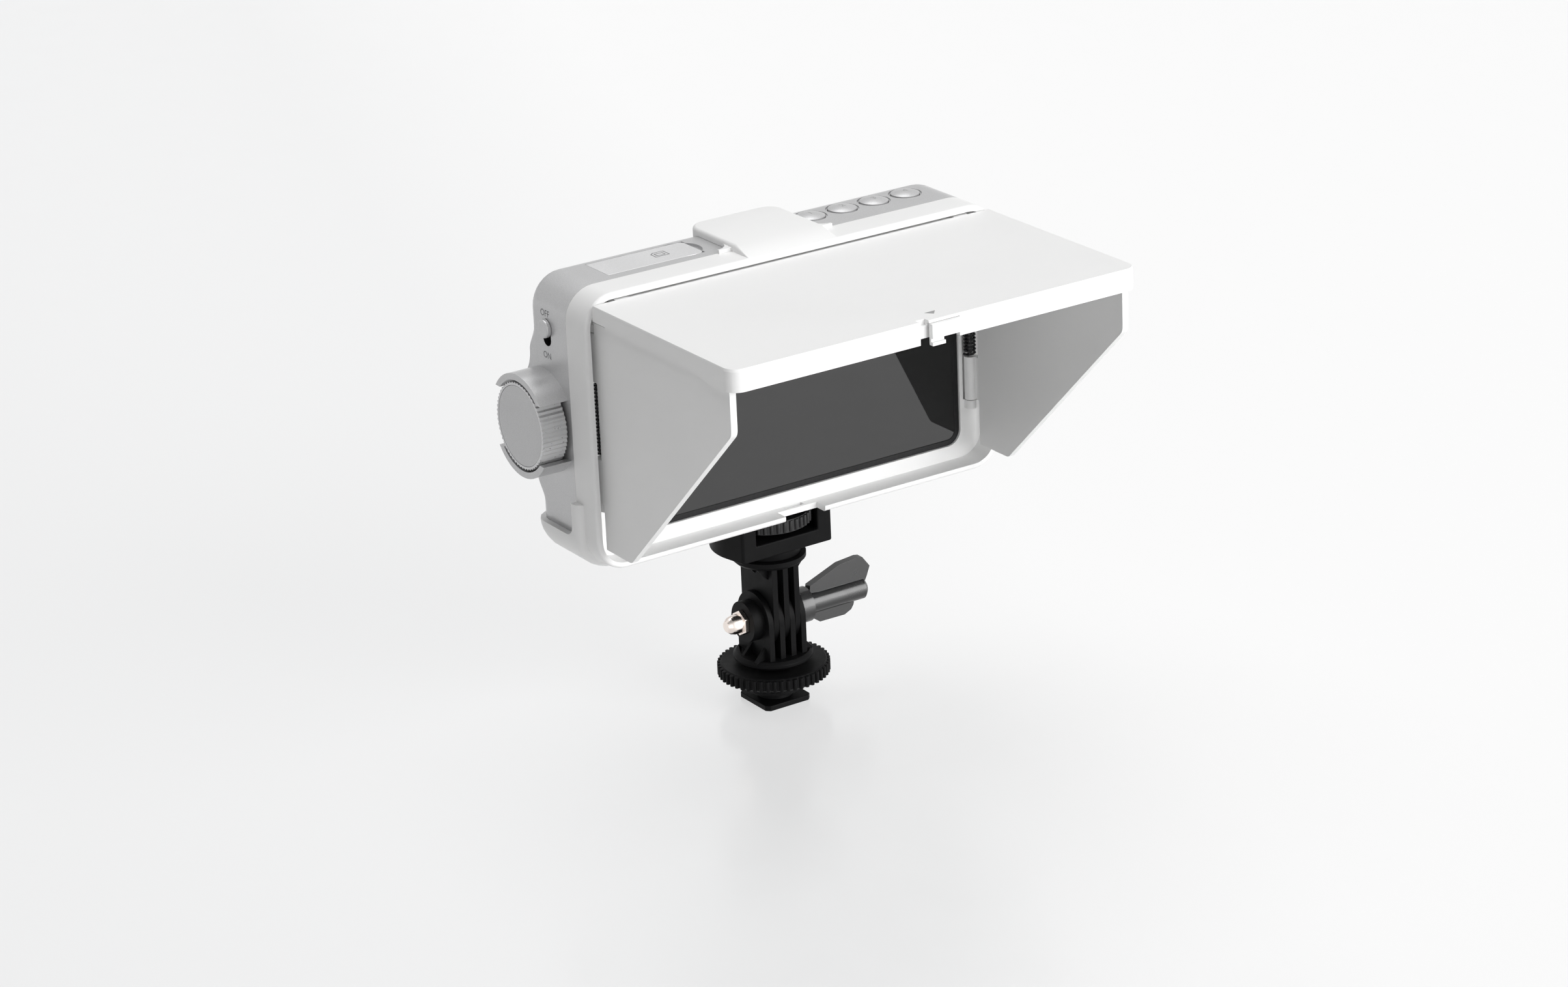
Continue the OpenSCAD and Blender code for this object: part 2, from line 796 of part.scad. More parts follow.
// Outline of the body's swelling behind the dial, in y and z, with the blends into the back
module pod_outline() {
    dy = body_back + pod_blend - dial_y;
    dz = sqrt(pow(pod_r + pod_blend, 2) - dy * dy);
    k = pod_r / (pod_r + pod_blend);
    translate([dial_y, dial_z]) difference() {
        union() {
            circle(pod_r);
            for (s = [-1, 1]) difference() {
                polygon([[0, 0], [body_back - dial_y - body_wall, s * dz], [body_back - dial_y, s * dz],
                    [dy * k, s * dz * k]]);
                translate([dy, s * dz]) circle(pod_blend);
            }
        }
        translate([body_y - dial_y - pod_r, -pod_r]) square([pod_r, 2 * pod_r]);
    }
}

module dial_guards() {
    side_prism(-side_x - guard_len, -side_x + seat) difference() {
        translate([dial_y, dial_z]) circle(guard_out);
        translate([dial_y, dial_z]) circle(guard_in);
        translate([dial_y - guard_out - cut, dial_z - guard_open])
            square([2 * (guard_out + cut), 2 * guard_open]);
    }
}

module top_holes() {
    for (i = [0 : 3]) translate([button_x + i * button_pitch, button_y, 0]) {
        translate([0, 0, frame_h - 3 * body_wall])
            cylinder(d = button_d + 2 * button_gap, h = 4 * body_wall);
        translate([0, 0, frame_h - button_dish]) cylinder(d = button_dish_d, h = cut);
    }
    // Recess, hinge pocket, nail scoop and slot of the card door
    translate([door_x - door_gap, door_y[0] - door_gap, frame_h - door_t - door_gap])
        cube([door_len + 2 * door_gap, door_y[1] - door_y[0] + 2 * door_gap, door_t + cut]);
    translate([door_x + door_axis_in, 0, frame_h - door_axis_low])
        rod_y(door_pocket_r, door_y[0] - door_gap, door_y[1] + door_gap);
    translate([door_x + door_len + nail_out - nail_r, (door_y[0] + door_y[1]) / 2, frame_h - nail_depth])
        cylinder(r = nail_r, h = cut + nail_depth);
    translate([door_x + door_len / 2 - slot_len / 2, (door_y[0] + door_y[1] - slot_t) / 2,
        frame_h - 2 * body_wall - cut]) cube([slot_len, slot_t, 2 * body_wall + 2 * cut]);
}

module side_holes() {
    // Slot of the power slider and bore of the dial's shaft
    side_prism(-side_x - cut, -side_x + 2 * body_wall) translate([slider_y, slider_z]) {
        square([slider_slot_w, slider_slot_h - slider_slot_w], center = true);
        for (s = [-1, 1]) translate([0, s * (slider_slot_h - slider_slot_w) / 2]) circle(d = slider_slot_w);
    }
    translate([0, dial_y, dial_z]) rod_x(encoder_bush_r + fit, -side_x - cut, -side_x + 2 * body_wall);
    side_prism(side_x - 2 * body_wall, side_x + cut) translate([socket_y, video_z])
        square([video_w + 2 * (socket_wall + fit), video_h + 2 * (socket_wall + fit)], center = true);
    for (i = [0, 1]) translate([0, socket_y, jack_z[i]])
        rod_x(jack_r[i] + jack_wall + fit, side_x - 2 * body_wall, side_x + cut);
}

module back_holes() {
    for (i = [0 : vent_count - 1]) translate([vent_x + i * vent_step, 0, vent_z])
        front_plate(body_back - 2 * body_wall, body_back + cut, 0) {
            square([vent_w, vent_len - vent_w], center = true);
            for (s = [-1, 1]) translate([0, s * (vent_len - vent_w) / 2]) circle(d = vent_w, $fn = 16);
        }
    for (i = [-2 : 2], j = [-2 : 2]) if (abs(i) + abs(j) < 4)
        translate([speaker_x + i * speaker_hole_step, 0, speaker_z + j * speaker_hole_step])
            rod_y(speaker_hole_d / 2, body_back - 2 * body_wall, body_back + cut, $fn = 16);
    for (x = plate_screw_x(), z = plate_screw_z()) translate([x, 0, z])
        rod_y(plate_screw_d / 2 + run, body_back - 2 * body_wall, body_back + cut);
    for (x = post_x, z = post_z) translate([x, 0, z]) {
        rod_y(house_screw_d / 2 + fit, body_y - cut, body_back + cut);
        rod_y(house_screw_head_d / 2 + fit, body_back - house_screw_head_h * 4 / 3 - fit, body_back + cut);
    }
}

module rear_housing() {
    color(silver) on_mount() difference() {
        union() {
            difference() {
                union() {
                    body_form(0);
                    side_prism(-side_x, -side_x + pod_len) pod_outline();
                    dial_guards();
                }
                front_plate(body_y - cut, body_back - body_wall - body_edge / 3)
                    round_rect(frame_w - 2 * body_wall, frame_h - 2 * body_wall, frame_corner - body_wall);
                front_plate(body_y, body_back - body_wall)
                    round_rect(frame_w - 2 * body_wall - body_edge, frame_h - 2 * body_wall - body_edge,
                        frame_corner - body_wall);
                translate([0, dial_y, dial_z])
                    rod_x(pod_r - pod_wall, -side_x + body_wall, -side_x + pod_len - body_wall);
            }
            // Posts for the screws, boss for the thread insert and bars beside the card slot
            for (x = post_x, z = post_z) translate([x, 0, z])
                rod_y(post_d / 2, chassis_y + chassis_t + seat, body_back - body_wall + seat);
            translate([0, swivel_y, seat]) cylinder(d = insert_boss_d, h = insert_len - seat);
            translate([door_x - door_rim, door_y[0] - door_rim, frame_h - 2 * body_wall - fit])
                cube([door_len + 2 * door_rim, door_y[1] - door_y[0] + 2 * door_rim, 2 * body_wall]);
            translate([door_x - door_rim, door_y[0] - door_rim, door_boss_z])
                cube([2 * door_pocket_r + door_rim, door_y[1] - door_y[0] + 2 * door_rim, door_pocket_r]);
        }
        top_holes();
        side_holes();
        back_holes();
        translate([0, swivel_y, -cut]) cylinder(d = insert_d, h = insert_len + 2 * cut);
        translate([door_x + door_axis_in, 0, frame_h - door_axis_low])
            rod_y(door_pin_r + seat, door_y[0] - door_rim / 2 - seat, door_y[1] + door_rim / 2 + seat);
    }
}

module front_shell() {
    color(black) on_mount() difference() {
        union() {
            front_plate(shell_y, body_y) round_rect(shell_w, shell_h, tray_corner - fit);
            front_plate(body_y - seat, shell_y + shell_t)
                round_rect(frame_w - 2 * body_wall - 2 * fit, frame_h - 2 * body_wall - 2 * fit,
                    frame_corner - body_wall - fit);
            for (x = post_x, z = post_z) translate([x, 0, z])
                rod_y(post_d / 2, shell_y + cut, chassis_y - seat);
        }
        front_plate(shell_y - cut, chassis_y)
            square([lcd_w + 2 * fit, lcd_h + 2 * fit], center = true);
        front_plate(shell_y - cut, lcd_y) round_rect(bezel_w + 2 * fit, bezel_h + 2 * fit, opening_corner);
        for (x = post_x, z = post_z) translate([x, 0, z])
            rod_y(house_screw_d / 2 + seat, house_screw_y0 - seat, chassis_y);
    }
}

module glass_bezel() {
    color(black) on_mount() difference() {
        front_plate(bezel_y, bezel_y + bezel_t) round_rect(bezel_w, bezel_h, opening_corner - fit);
        front_plate(bezel_y - cut, bezel_y + bezel_t + cut)
            round_rect(glass_w + 2 * glass_gap, glass_h + 2 * glass_gap, glass_corner + glass_gap);
    }
}

module screen_glass() {
    color([0.12, 0.12, 0.13]) on_mount()
        front_plate(glass_y, glass_y + glass_t) round_rect(glass_w, glass_h, glass_corner);
}

module lcd_panel() {
    color([0.2, 0.2, 0.24]) on_mount() {
        front_plate(lcd_y, lcd_y + lcd_t) square([lcd_w, lcd_h], center = true);
    }
}

module backlight() {
    color([0.85, 0.86, 0.84]) on_mount() {
        front_plate(light_y, light_y + light_t) square([lcd_w - 2 * fit, lcd_h - 2 * fit], center = true);
    }
}

module chassis_plate() {
    color(steel) on_mount() difference() {
        union() {
            front_plate(chassis_y, chassis_y + chassis_t) round_rect(chassis_w, chassis_h, door_corner);
            for (sx = [-1, 1], sz = [-1, 1])
                translate([sx * (board_w / 2 - 4 * chassis_t), 0,
                    mid_z + sz * (board_h / 2 - 4 * chassis_t)])
                    rod_y(2 * chassis_t, chassis_y + chassis_t - seat, board_y);
        }
        for (x = post_x, z = post_z) translate([x, 0, z])
            rod_y(house_screw_d / 2 + fit, chassis_y - cut, chassis_y + chassis_t + cut);
        front_plate(chassis_y - cut, chassis_y + chassis_t + cut)
            square([spreader_size[0], 4 * fin_step], center = true);
    }
}

module main_board() {
    color(board_green) on_mount() {
        front_plate(board_y, board_y + board_t) round_rect(board_w, board_h, door_corner);
        front_plate(board_y + board_t - seat, board_y + board_t + chip_t) {
            square([chip_main, chip_main], center = true);
            for (sx = [-1, 1]) translate([sx * chip_step, 0]) square(chip_small, center = true);
        }
        // Can capacitors and a ribbon connector on the board's face
        for (i = [0 : can_count - 1])
            translate([can_in + i * can_step - board_w / 2, 0, mid_z - spreader_size[2] / 2 - 2 * can_r])
                rod_y(can_r, board_y + board_t - seat, board_y + board_t + can_h);
        translate([board_w / 2 - connector_in, board_y + board_t - seat,
            mid_z + spreader_size[2] / 2 + connector_gap])
            cube([connector_size[0], connector_size[1] + seat, connector_size[2]]);
    }
}

module heat_spreader() {
    color(steel) on_mount() {
        front_plate(spreader_y, spreader_y + spreader_size[1])
            square([spreader_size[0], spreader_size[2]], center = true);
        for (x = [-spreader_size[0] / 2 : fin_step : spreader_size[0] / 2 - fin_t])
            translate([x, spreader_y + spreader_size[1] - seat, mid_z - spreader_size[2] / 2])
                cube([fin_t, fin_h + seat, spreader_size[2]]);
    }
}

module thread_insert() {
    color(brass) on_mount() translate([0, swivel_y, 0]) difference() {
        cylinder(d = insert_d, h = insert_len);
        translate([0, 0, -cut]) cylinder(r = thread_d / 2 + run, h = insert_len + 2 * cut);
    }
}

module countersunk(d, head_d, head_h, length) {
    rod_y(d / 2, 0, length);
    rod_y(head_d / 2, length - head_h, length);
}

module housing_screws() {
    color(steel) on_mount() for (x = post_x, z = post_z) translate([x, house_screw_y0, z])
        countersunk(house_screw_d, house_screw_head_d, house_screw_head_h,
            body_back - house_screw_head_h / 3 - house_screw_y0);
}

function plate_screw_x() = [plate_x - plate_w / 2 + plate_screw_in, plate_x + plate_w / 2 - plate_screw_in];
function plate_screw_z() = [plate_z + plate_screw_in, plate_z + plate_h - plate_screw_in];

module battery_plate() {
    color(black) on_mount() difference() {
        translate([plate_x, 0, plate_z + plate_h / 2])
            front_plate(body_back + seat, body_back + seat + plate_t, 0)
                round_rect(plate_w, plate_h, plate_corner);
        // Recess between the side rails, and the hook slots in the rails
        translate([plate_x - plate_w / 2 + plate_rail + plate_slot_d, body_back + seat + plate_t / 2,
            plate_z + 2 * plate_rail])
            cube([plate_w - 2 * plate_rail - 2 * plate_slot_d, plate_t, plate_h]);
        for (s = [-1, 1], k = [0, 1])
            translate([plate_x + s * (plate_w / 2 - plate_rail) - plate_slot_w / 2,
                body_back + seat + plate_t / 3, plate_z + plate_h / 4 + k * plate_h / 3])
                    cube([plate_slot_w, plate_t, plate_slot_h]);
        for (x = plate_screw_x(), z = plate_screw_z()) translate([x, 0, z]) {
            rod_y(plate_screw_d / 2 + run, body_back, body_back + plate_t + cut);
            rod_y(plate_screw_head_d / 2 + fit, body_back + seat + plate_t / 2 - plate_screw_head_h,
                body_back + plate_t + cut);
        }
        translate([plate_x - contact_size[0] / 2 - fit, body_back, plate_z + plate_h - contact_from_top])
            cube([contact_size[0] + 2 * fit, plate_t + cut, contact_size[2] + 2 * fit]);
        translate([plate_x - release_size[0] / 2 - fit, body_back + seat + fit, plate_z - cut])
            cube([release_size[0] + 2 * fit, plate_t + cut, release_size[2] + release_travel + cut + fit]);
    }
}

module battery_contacts() {
    y0 = body_back + seat;
    color(black) on_mount() translate([plate_x, y0, plate_z + plate_h - contact_from_top + fit]) {
        translate([-contact_size[0] / 2, 0, 0]) cube(contact_size);
        for (i = [-2 : 2])
            translate([i * contact_step - contact_blade[0] / 2, contact_size[1] - seat, contact_blade_z])
                cube([contact_blade[0], contact_blade[1] + seat, contact_blade[2]]);
    }
}

module battery_release() {
    color(silver) on_mount()
    translate([plate_x - release_size[0] / 2, body_back + seat + 2 * fit, plate_z + fit]) {
        cube([release_size[0], release_size[1], release_size[2]]);
        for (i = [0 : 3]) translate([0, release_size[1] - seat, release_rib_z + i * release_rib_step])
            cube([release_size[0], release_rib[0] + seat, release_rib[1]]);
    }
}

module plate_screws() {
    length = plate_screw_len;
    color(steel) on_mount() for (x = plate_screw_x(), z = plate_screw_z())
        translate([x, body_back + seat + plate_t / 2 - length, z])
            countersunk(plate_screw_d, plate_screw_head_d, plate_screw_head_h, length);
}

module video_socket() {
    color(steel) on_mount() difference() {
        side_prism(side_x - socket_len, side_x - fit) translate([socket_y, video_z])
            square([video_w + 2 * socket_wall, video_h + 2 * socket_wall], center = true);
        side_prism(side_x - socket_len + socket_wall, side_x + cut) translate([socket_y, video_z])
            square([video_w, video_h], center = true);
    }
}

module jack(i) {
    color(black) on_mount() translate([0, socket_y, jack_z[i]]) difference() {
        rod_x(jack_r[i] + jack_wall, side_x - jack_len, side_x - fit);
        rod_x(jack_r[i], side_x - fit - jack_depth, side_x + cut);
    }
}
module power_jack() { jack(0); }
module audio_jack() { jack(1); }

module dial_ring() {
    color(silver) on_mount() translate([0, dial_y, dial_z]) difference() {
        rotate([0, -90, 0]) translate([0, 0, side_x + dial_gap])
            linear_extrude(dial_len - dial_gap) knurl(dial_r, dial_groove, dial_teeth);
        rod_x(cap_d / 2 + seat, -side_x - dial_len - cut, -side_x - dial_len + cap_t);
        rod_x(shaft_r + seat, -side_x - dial_len + cap_t - cut, -side_x);
    }
}

module dial_cap() {
    color([0.58, 0.58, 0.59]) on_mount() translate([0, dial_y, dial_z])
        rod_x(cap_d / 2, -side_x - dial_len, -side_x - dial_len + cap_t);
}

module dial_encoder() {
    x0 = -side_x + body_wall + fit;
    color([0.35, 0.36, 0.38]) on_mount() translate([0, dial_y, dial_z]) difference() {
        union() {
            translate([x0, -encoder_s / 2, -encoder_s / 2]) cube([encoder_len, encoder_s, encoder_s]);
            rod_x(encoder_bush_r, x0 - encoder_bush_len, x0 + seat);
        }
        rod_x(shaft_r + run, x0 - encoder_bush_len - cut, x0 + shaft_in + fit);
    }
}

module dial_shaft() {
    color(steel) on_mount() translate([0, dial_y, dial_z])
        rod_x(shaft_r, -side_x - dial_len + cap_t + seat, -side_x + body_wall + fit + shaft_in);
}

module power_slider() {
    color(silver) on_mount() translate([0, slider_y, slider_z + slider_travel / 2]) {
        rod_x(slider_d / 2, -side_x - slider_rise, -side_x + body_wall + fit);
        translate([-side_x + body_wall + fit, -slider_plate[1] / 2, -slider_plate[2] / 2])
            cube(slider_plate);
    }
}

module power_switch() {
    color([0.3, 0.3, 0.32]) on_mount()
        translate([-side_x + body_wall + 2 * fit + slider_plate[0], slider_y - switch_size[1] / 2,
            slider_z - switch_size[2] / 2]) cube(switch_size);
}

module top_button(i) {
    color(silver) on_mount() translate([button_x + i * button_pitch, button_y, frame_h]) {
        rotate_extrude() {
            r = button_d / 2;
            polygon([[0, -button_stem_h], [r + button_flange, -button_stem_h],
                [r + button_flange, -button_stem_h + button_flange_h], [r, -button_stem_h + button_flange_h],
                [r, button_rise - button_dome], [0, button_rise - button_dome]]);
            intersection() {
                translate([0, button_rise - dome_r(r)]) circle(dome_r(r), $fn = 160);
                translate([0, button_rise - button_dome - seat]) square([r, button_dome + seat]);
            }
        }
    }
}
function dome_r(r) = (r * r + button_dome * button_dome) / (2 * button_dome);
module button_1() { top_button(0); }
module button_2() { top_button(1); }
module button_3() { top_button(2); }
module button_4() { top_button(3); }

module button_board() {
    z1 = frame_h - button_stem_h - button_travel - dome_switch_h - 2 * seat;
    color(board_green) on_mount() {
        translate([button_x + 1.5 * button_pitch - button_board_size[0] / 2,
            button_y - button_board_size[1] / 2, z1 - button_board_size[2]]) cube(button_board_size);
        for (i = [0 : 3]) translate([button_x + i * button_pitch, button_y, z1 - seat])
            cylinder(d = dome_switch_d, h = dome_switch_h + seat);
    }
}

module card_door() {
    color(silver) on_mount() difference() {
        union() {
            translate([door_x + door_axis_in, door_y[0], frame_h - door_t])
                cube([door_len - door_axis_in - door_corner, door_y[1] - door_y[0], door_t]);
            translate([door_x + door_len - 2 * door_corner, door_y[0] + door_corner, frame_h - door_t])
                cube([2 * door_corner, door_y[1] - door_y[0] - 2 * door_corner, door_t]);
            for (y = [door_y[0] + door_corner, door_y[1] - door_corner])
                translate([door_x + door_len - door_corner, y, frame_h - door_t])
                    cylinder(r = door_corner, h = door_t);
            translate([door_x + door_axis_in, 0, frame_h - door_axis_low])
                rod_y(door_axis_low, door_y[0], door_y[1]);
            translate([door_x, door_y[0], frame_h - door_axis_low])
                cube([door_axis_in, door_y[1] - door_y[0], door_axis_low]);
        }
        translate([door_x + door_axis_in, 0, frame_h - door_axis_low])
            rod_y(door_pin_r + run, door_y[0] - cut, door_y[1] + cut);
    }
}

module door_pin() {
    color(steel) on_mount() translate([door_x + door_axis_in, 0, frame_h - door_axis_low])
        rod_y(door_pin_r, door_y[0] - door_rim / 2, door_y[1] + door_rim / 2);
}

module card_socket() {
    top = door_boss_z - seat;
    color(steel) on_mount() difference() {
        translate([door_x + door_len / 2 - card_socket_size[0] / 2,
            (door_y[0] + door_y[1] - card_socket_size[1]) / 2, top - card_socket_size[2]])
                cube(card_socket_size);
        translate([door_x + door_len / 2 - slot_len / 2,
            (door_y[0] + door_y[1]) / 2 - slot_t / 2 + fit, top - card_socket_size[2] + card_socket_floor])
                cube([slot_len, slot_t - 2 * fit, card_socket_size[2]]);
    }
}

module speaker() {
    color(black) on_mount() translate([speaker_x, 0, speaker_z])
        rod_y(speaker_d / 2, body_back - body_wall - speaker_t - seat, body_back - body_wall - seat);
}

// The hood's pieces

module hood_frame() {
    color(white) on_mount() difference() {
        union() {
            difference() {
                union() {
                    soft_box(frame_w, frame_h, frame_corner, 0, frame_depth, lip_round, 0);
                    clip_tab();
                    corner_hooks();
                }
                front_plate(-cut, tray_depth) round_rect(tray_w, tray_h, tray_corner);
                front_plate(tray_depth - cut, frame_depth) round_rect(opening_w, opening_h, opening_corner);
                front_plate(tray_depth + platform_t, frame_depth + cut)
                    round_rect(tray_w, tray_h, tray_corner);
                body_form(seat);
            }
            for (s = [-1, 1]) {
                lid_lug(s);
                for (z = [lug_low_z, lug_high_z]) wing_lug(s, z);
            }
        }
        for (s = [-1, 1]) {
            translate([s * lid_lug_x[0] - (s < 0 ? lid_lug_x[1] - lid_lug_x[0] : 0), lid_axis_y, lid_axis_z])
                rod_x(lid_pin_r + run, -cut, lid_lug_x[1] - lid_lug_x[0] + cut);
            translate([s * wing_axis_x, axis_y(s), pin_low_z - seat])
                cylinder(r = pin_r + seat, h = pin_high_z - pin_low_z + 2 * seat);
            wing_pocket(s);
        }
        // Finger notch in the lower lip and slot for the latch behind it
        translate([-finger_notch_w / 2, -cut, -cut])
            cube([finger_notch_w, finger_notch_y + cut, frame_wall + 2 * cut]);
        translate([-slot_w / 2, slot_y[0], -cut])
            cube([slot_w, slot_y[1] - slot_y[0], frame_wall + 2 * cut]);
    }
}
function axis_y(s) = wing_axis_y[s < 0 ? 0 : 1];
function rear_y(s) = wing_rear_y[s < 0 ? 0 : 1];

// Tab that clips over the top of the body and down its back
module clip_tab() {
    back = body_back + tab_back_t;
    difference() {
        union() {
            translate([0, 0, frame_h - tab_drop]) linear_extrude(tab_drop + tab_t - tab_edge)
                tab_outline(back, 0);
            hull() {
                for (i = [0 : edge_steps]) {
                    a = 90 * i / edge_steps;
                    translate([0, 0, frame_h + tab_t - tab_edge * (1 - sin(a)) - skin])
                        linear_extrude(skin) tab_outline(back, tab_edge * (1 - cos(a)));
                }
                translate([-tab_w / 2, lip_round, frame_h - lip_round]) cube([tab_w, tab_front, lip_round]);
            }
            for (s = [-1, 1]) translate([s * tab_w / 2, frame_depth, frame_h - skin])
                linear_extrude(tab_t - tab_edge + skin) difference() {
                    translate([s < 0 ? -tab_fillet : 0, -cut]) square([tab_fillet, tab_fillet + cut]);
                    translate([s * tab_fillet, tab_fillet]) circle(tab_fillet);
                }
        }
        translate([-tab_w, -cut, frame_h - tab_drop - cut])
            cube([2 * tab_w, frame_depth + cut, tab_drop + cut - lip_round]);
    }
}
module tab_outline(back, inset) {
    translate([0, frame_depth - tab_front / 2]) {
        long = back - frame_depth + tab_front / 2 - inset;
        translate([-tab_w / 2 + inset, 0]) square([tab_w - 2 * inset, long - tab_corner]);
        translate([-tab_w / 2 + tab_corner, 0]) square([tab_w - 2 * tab_corner, long]);
        for (s = [-1, 1]) translate([s * (tab_w / 2 - tab_corner), long - tab_corner + inset])
            circle(tab_corner - inset, $fn = form_fn);
    }
}

// Cups that wrap round the body's lower corners
module corner_hooks() {
    difference() {
        soft_box(frame_w + 2 * hook_t, frame_h + 2 * hook_t, frame_corner + hook_t,
            frame_depth - body_edge, body_back + hook_t, hook_edge / 2, hook_edge);
        translate([-hook_inner_x, 0, -frame_h]) cube([2 * hook_inner_x, 2 * body_back, 3 * frame_h]);
        side_prism(-frame_w, frame_w) {
            translate([-cut, hook_top + 3 * hook_fillet]) square([2 * body_back, frame_h]);
            translate([frame_depth + hook_fillet, hook_top]) square([2 * body_back, frame_h]);
            translate([frame_depth, hook_top + hook_fillet]) square([body_back, frame_h]);
            translate([frame_depth + hook_fillet, hook_top + hook_fillet]) circle(hook_fillet);
        }
    }
}

// Lug that carries a pin of the lid
module lid_lug(s) {
    x0 = s < 0 ? -lid_lug_x[1] : lid_lug_x[0];
    side_prism(x0, x0 + lid_lug_x[1] - lid_lug_x[0]) {
        translate([lid_axis_y, lid_axis_z]) circle(lid_barrel_r);
        translate([lid_axis_y, lid_axis_z - lid_barrel_r])
            square([tray_depth - lid_axis_y + platform_t / 2, 2 * lid_barrel_r]);
    }
}

// Lug that carries an end of a wing's pin
module wing_lug(s, z) {
    translate([s * wing_axis_x, axis_y(s), z[0]]) {
        cylinder(r = barrel_r, h = z[1] - z[0]);
        translate([-barrel_r, 0, 0])
            cube([2 * barrel_r, tray_depth - axis_y(s) + platform_t / 2, z[1] - z[0]]);
    }
}

// Pocket in the platform behind a wing's barrels and spring
module wing_pocket(s) {
    translate([s * wing_axis_x - pocket_r, tray_depth - pocket_depth, lug_low_z[1]])
        cube([2 * pocket_r, 2 * pocket_depth, lug_high_z[0] - lug_low_z[1]]);
}

module hood_lid() {
    front = -lid_reach;
    color(white) on_mount() difference() {
        union() {
            hull() {
                translate([0, 0, lid_top - lid_t]) linear_extrude(lid_t - lid_edge) lid_outline(0);
                translate([0, 0, lid_top - skin]) linear_extrude(skin) lid_outline(lid_edge / 2);
            }
            // Rims under the plate, the sides lower than the front
            difference() {
                translate([0, 0, lid_top - front_rim_h])
                    linear_extrude(front_rim_h - lid_edge) lid_outline(0);
                translate([0, 0, lid_top - front_rim_h - cut]) linear_extrude(front_rim_h + cut - lid_t)
                    lid_inner();
                side_prism(-lid_w, lid_w) polygon([[front + 3 * lid_corner, lid_top - front_rim_h - cut],
                    [front + 3 * lid_corner, lid_top - front_rim_h],
                    [front + 3 * lid_corner + rim_rise_run, lid_top - side_rim_h],
                    [lid_back + cut, lid_top - side_rim_h], [lid_back + cut, lid_top - front_rim_h - cut]]);
                translate([-lid_w, rim_back, lid_top - front_rim_h - cut])
                    cube([2 * lid_w, lid_back, front_rim_h + cut - lid_t]);
            }
            for (s = [-1, 1]) lid_barrels(s);
        }
        // Rear corners kept clear of the tray's own
        front_plate(-lid_side_gap, lid_back + cut) difference() {
            translate([0, frame_h / 2]) square([2 * frame_w, frame_h], center = true);
            round_rect(tray_w - 2 * (lid_side_gap - seat), tray_h - 2 * (lid_top_gap - seat),
                tray_corner - lid_top_gap);
        }
        // Room for the frame's lugs, and the lower strip along the back edge
        for (s = [-1, 1]) {
            x0 = s < 0 ? -lid_lug_x[1] - fit : lid_lug_x[0] - fit;
            translate([x0, -lid_notch_front, lid_axis_z - 2 * lid_barrel_r])
                cube([lid_lug_x[1] - lid_lug_x[0] + 2 * fit, lid_back + lid_notch_front + cut,
                    4 * lid_barrel_r]);
            translate([s < 0 ? -lid_barrel_x[1] - cut : lid_barrel_x[0] - cut, lid_axis_y, lid_axis_z])
                rod_x(lid_pin_r + seat, 0, lid_barrel_x[1] - lid_barrel_x[0] + 2 * cut);
        }
        translate([-lid_step_w / 2, -lid_step_y, lid_top - lid_step_h])
            cube([lid_step_w, lid_back + lid_step_y + cut, lid_step_h + cut]);
        // Pocket for the latch and the open notch beside it
        translate([latch_pocket_x[0], front - cut, lid_top - front_rim_h - cut])
            cube([latch_pocket_x[1] - latch_pocket_x[0], latch_pocket_t + cut,
                front_rim_h + cut - latch_drop]);
        translate([latch_pocket_x[0], front - cut, lid_top - latch_drop - cut])
            cube([latch_x[0] - latch_pocket_x[0], latch_notch_h + cut, 2 * cut + latch_drop]);
        translate([latch_pocket_x[0], front - cut, lid_top - front_rim_h - cut])
            cube([latch_pocket_x[1] - latch_pocket_x[0], lid_front_rim_t + 2 * cut, latch_nose_h + cut]);
        for (x = latch_pin_x) translate([x, 0, lid_top - front_rim_h / 2])
            rod_y(latch_pin_r + run, front, front + lid_front_rim_t + cut);
    }
}
module lid_outline(inset) {
    translate([-lid_half + inset, -lid_reach + lid_corner])
        square([lid_w - 2 * inset, lid_back + lid_reach - lid_corner]);
    translate([-lid_half + lid_corner, -lid_reach + inset])
        square([lid_w - 2 * lid_corner, lid_corner + cut]);
    for (s = [-1, 1]) translate([s * (lid_half - lid_corner), -lid_reach + lid_corner])
        circle(lid_corner - inset, $fn = form_fn);
}
module lid_inner() {
    half = lid_half - lid_rim_t;
    r = lid_inner_corner;
    translate([-half, -lid_reach + lid_front_rim_t + r]) square([2 * half, lid_back + lid_reach]);
    translate([-half + r, -lid_reach + lid_front_rim_t]) square([2 * half - 2 * r, 2 * r]);
    for (s = [-1, 1]) translate([s * (half - r), -lid_reach + lid_front_rim_t + r]) circle(r);
}
module lid_barrels(s) {
    x0 = s < 0 ? -lid_barrel_x[1] : lid_barrel_x[0];
    side_prism(x0, x0 + lid_barrel_x[1] - lid_barrel_x[0]) {
        translate([lid_axis_y, lid_axis_z]) circle(lid_barrel_r);
        translate([lid_axis_y - lid_barrel_r, lid_axis_z])
            square([2 * lid_barrel_r, lid_top - lid_t - lid_axis_z + seat]);
    }
}

module lid_pins() {
    color(steel) on_mount() for (s = [-1, 1])
        translate([s < 0 ? -lid_barrel_x[1] : lid_barrel_x[0], lid_axis_y, lid_axis_z])
            rod_x(lid_pin_r, 0, lid_barrel_x[1] - lid_barrel_x[0]);
}

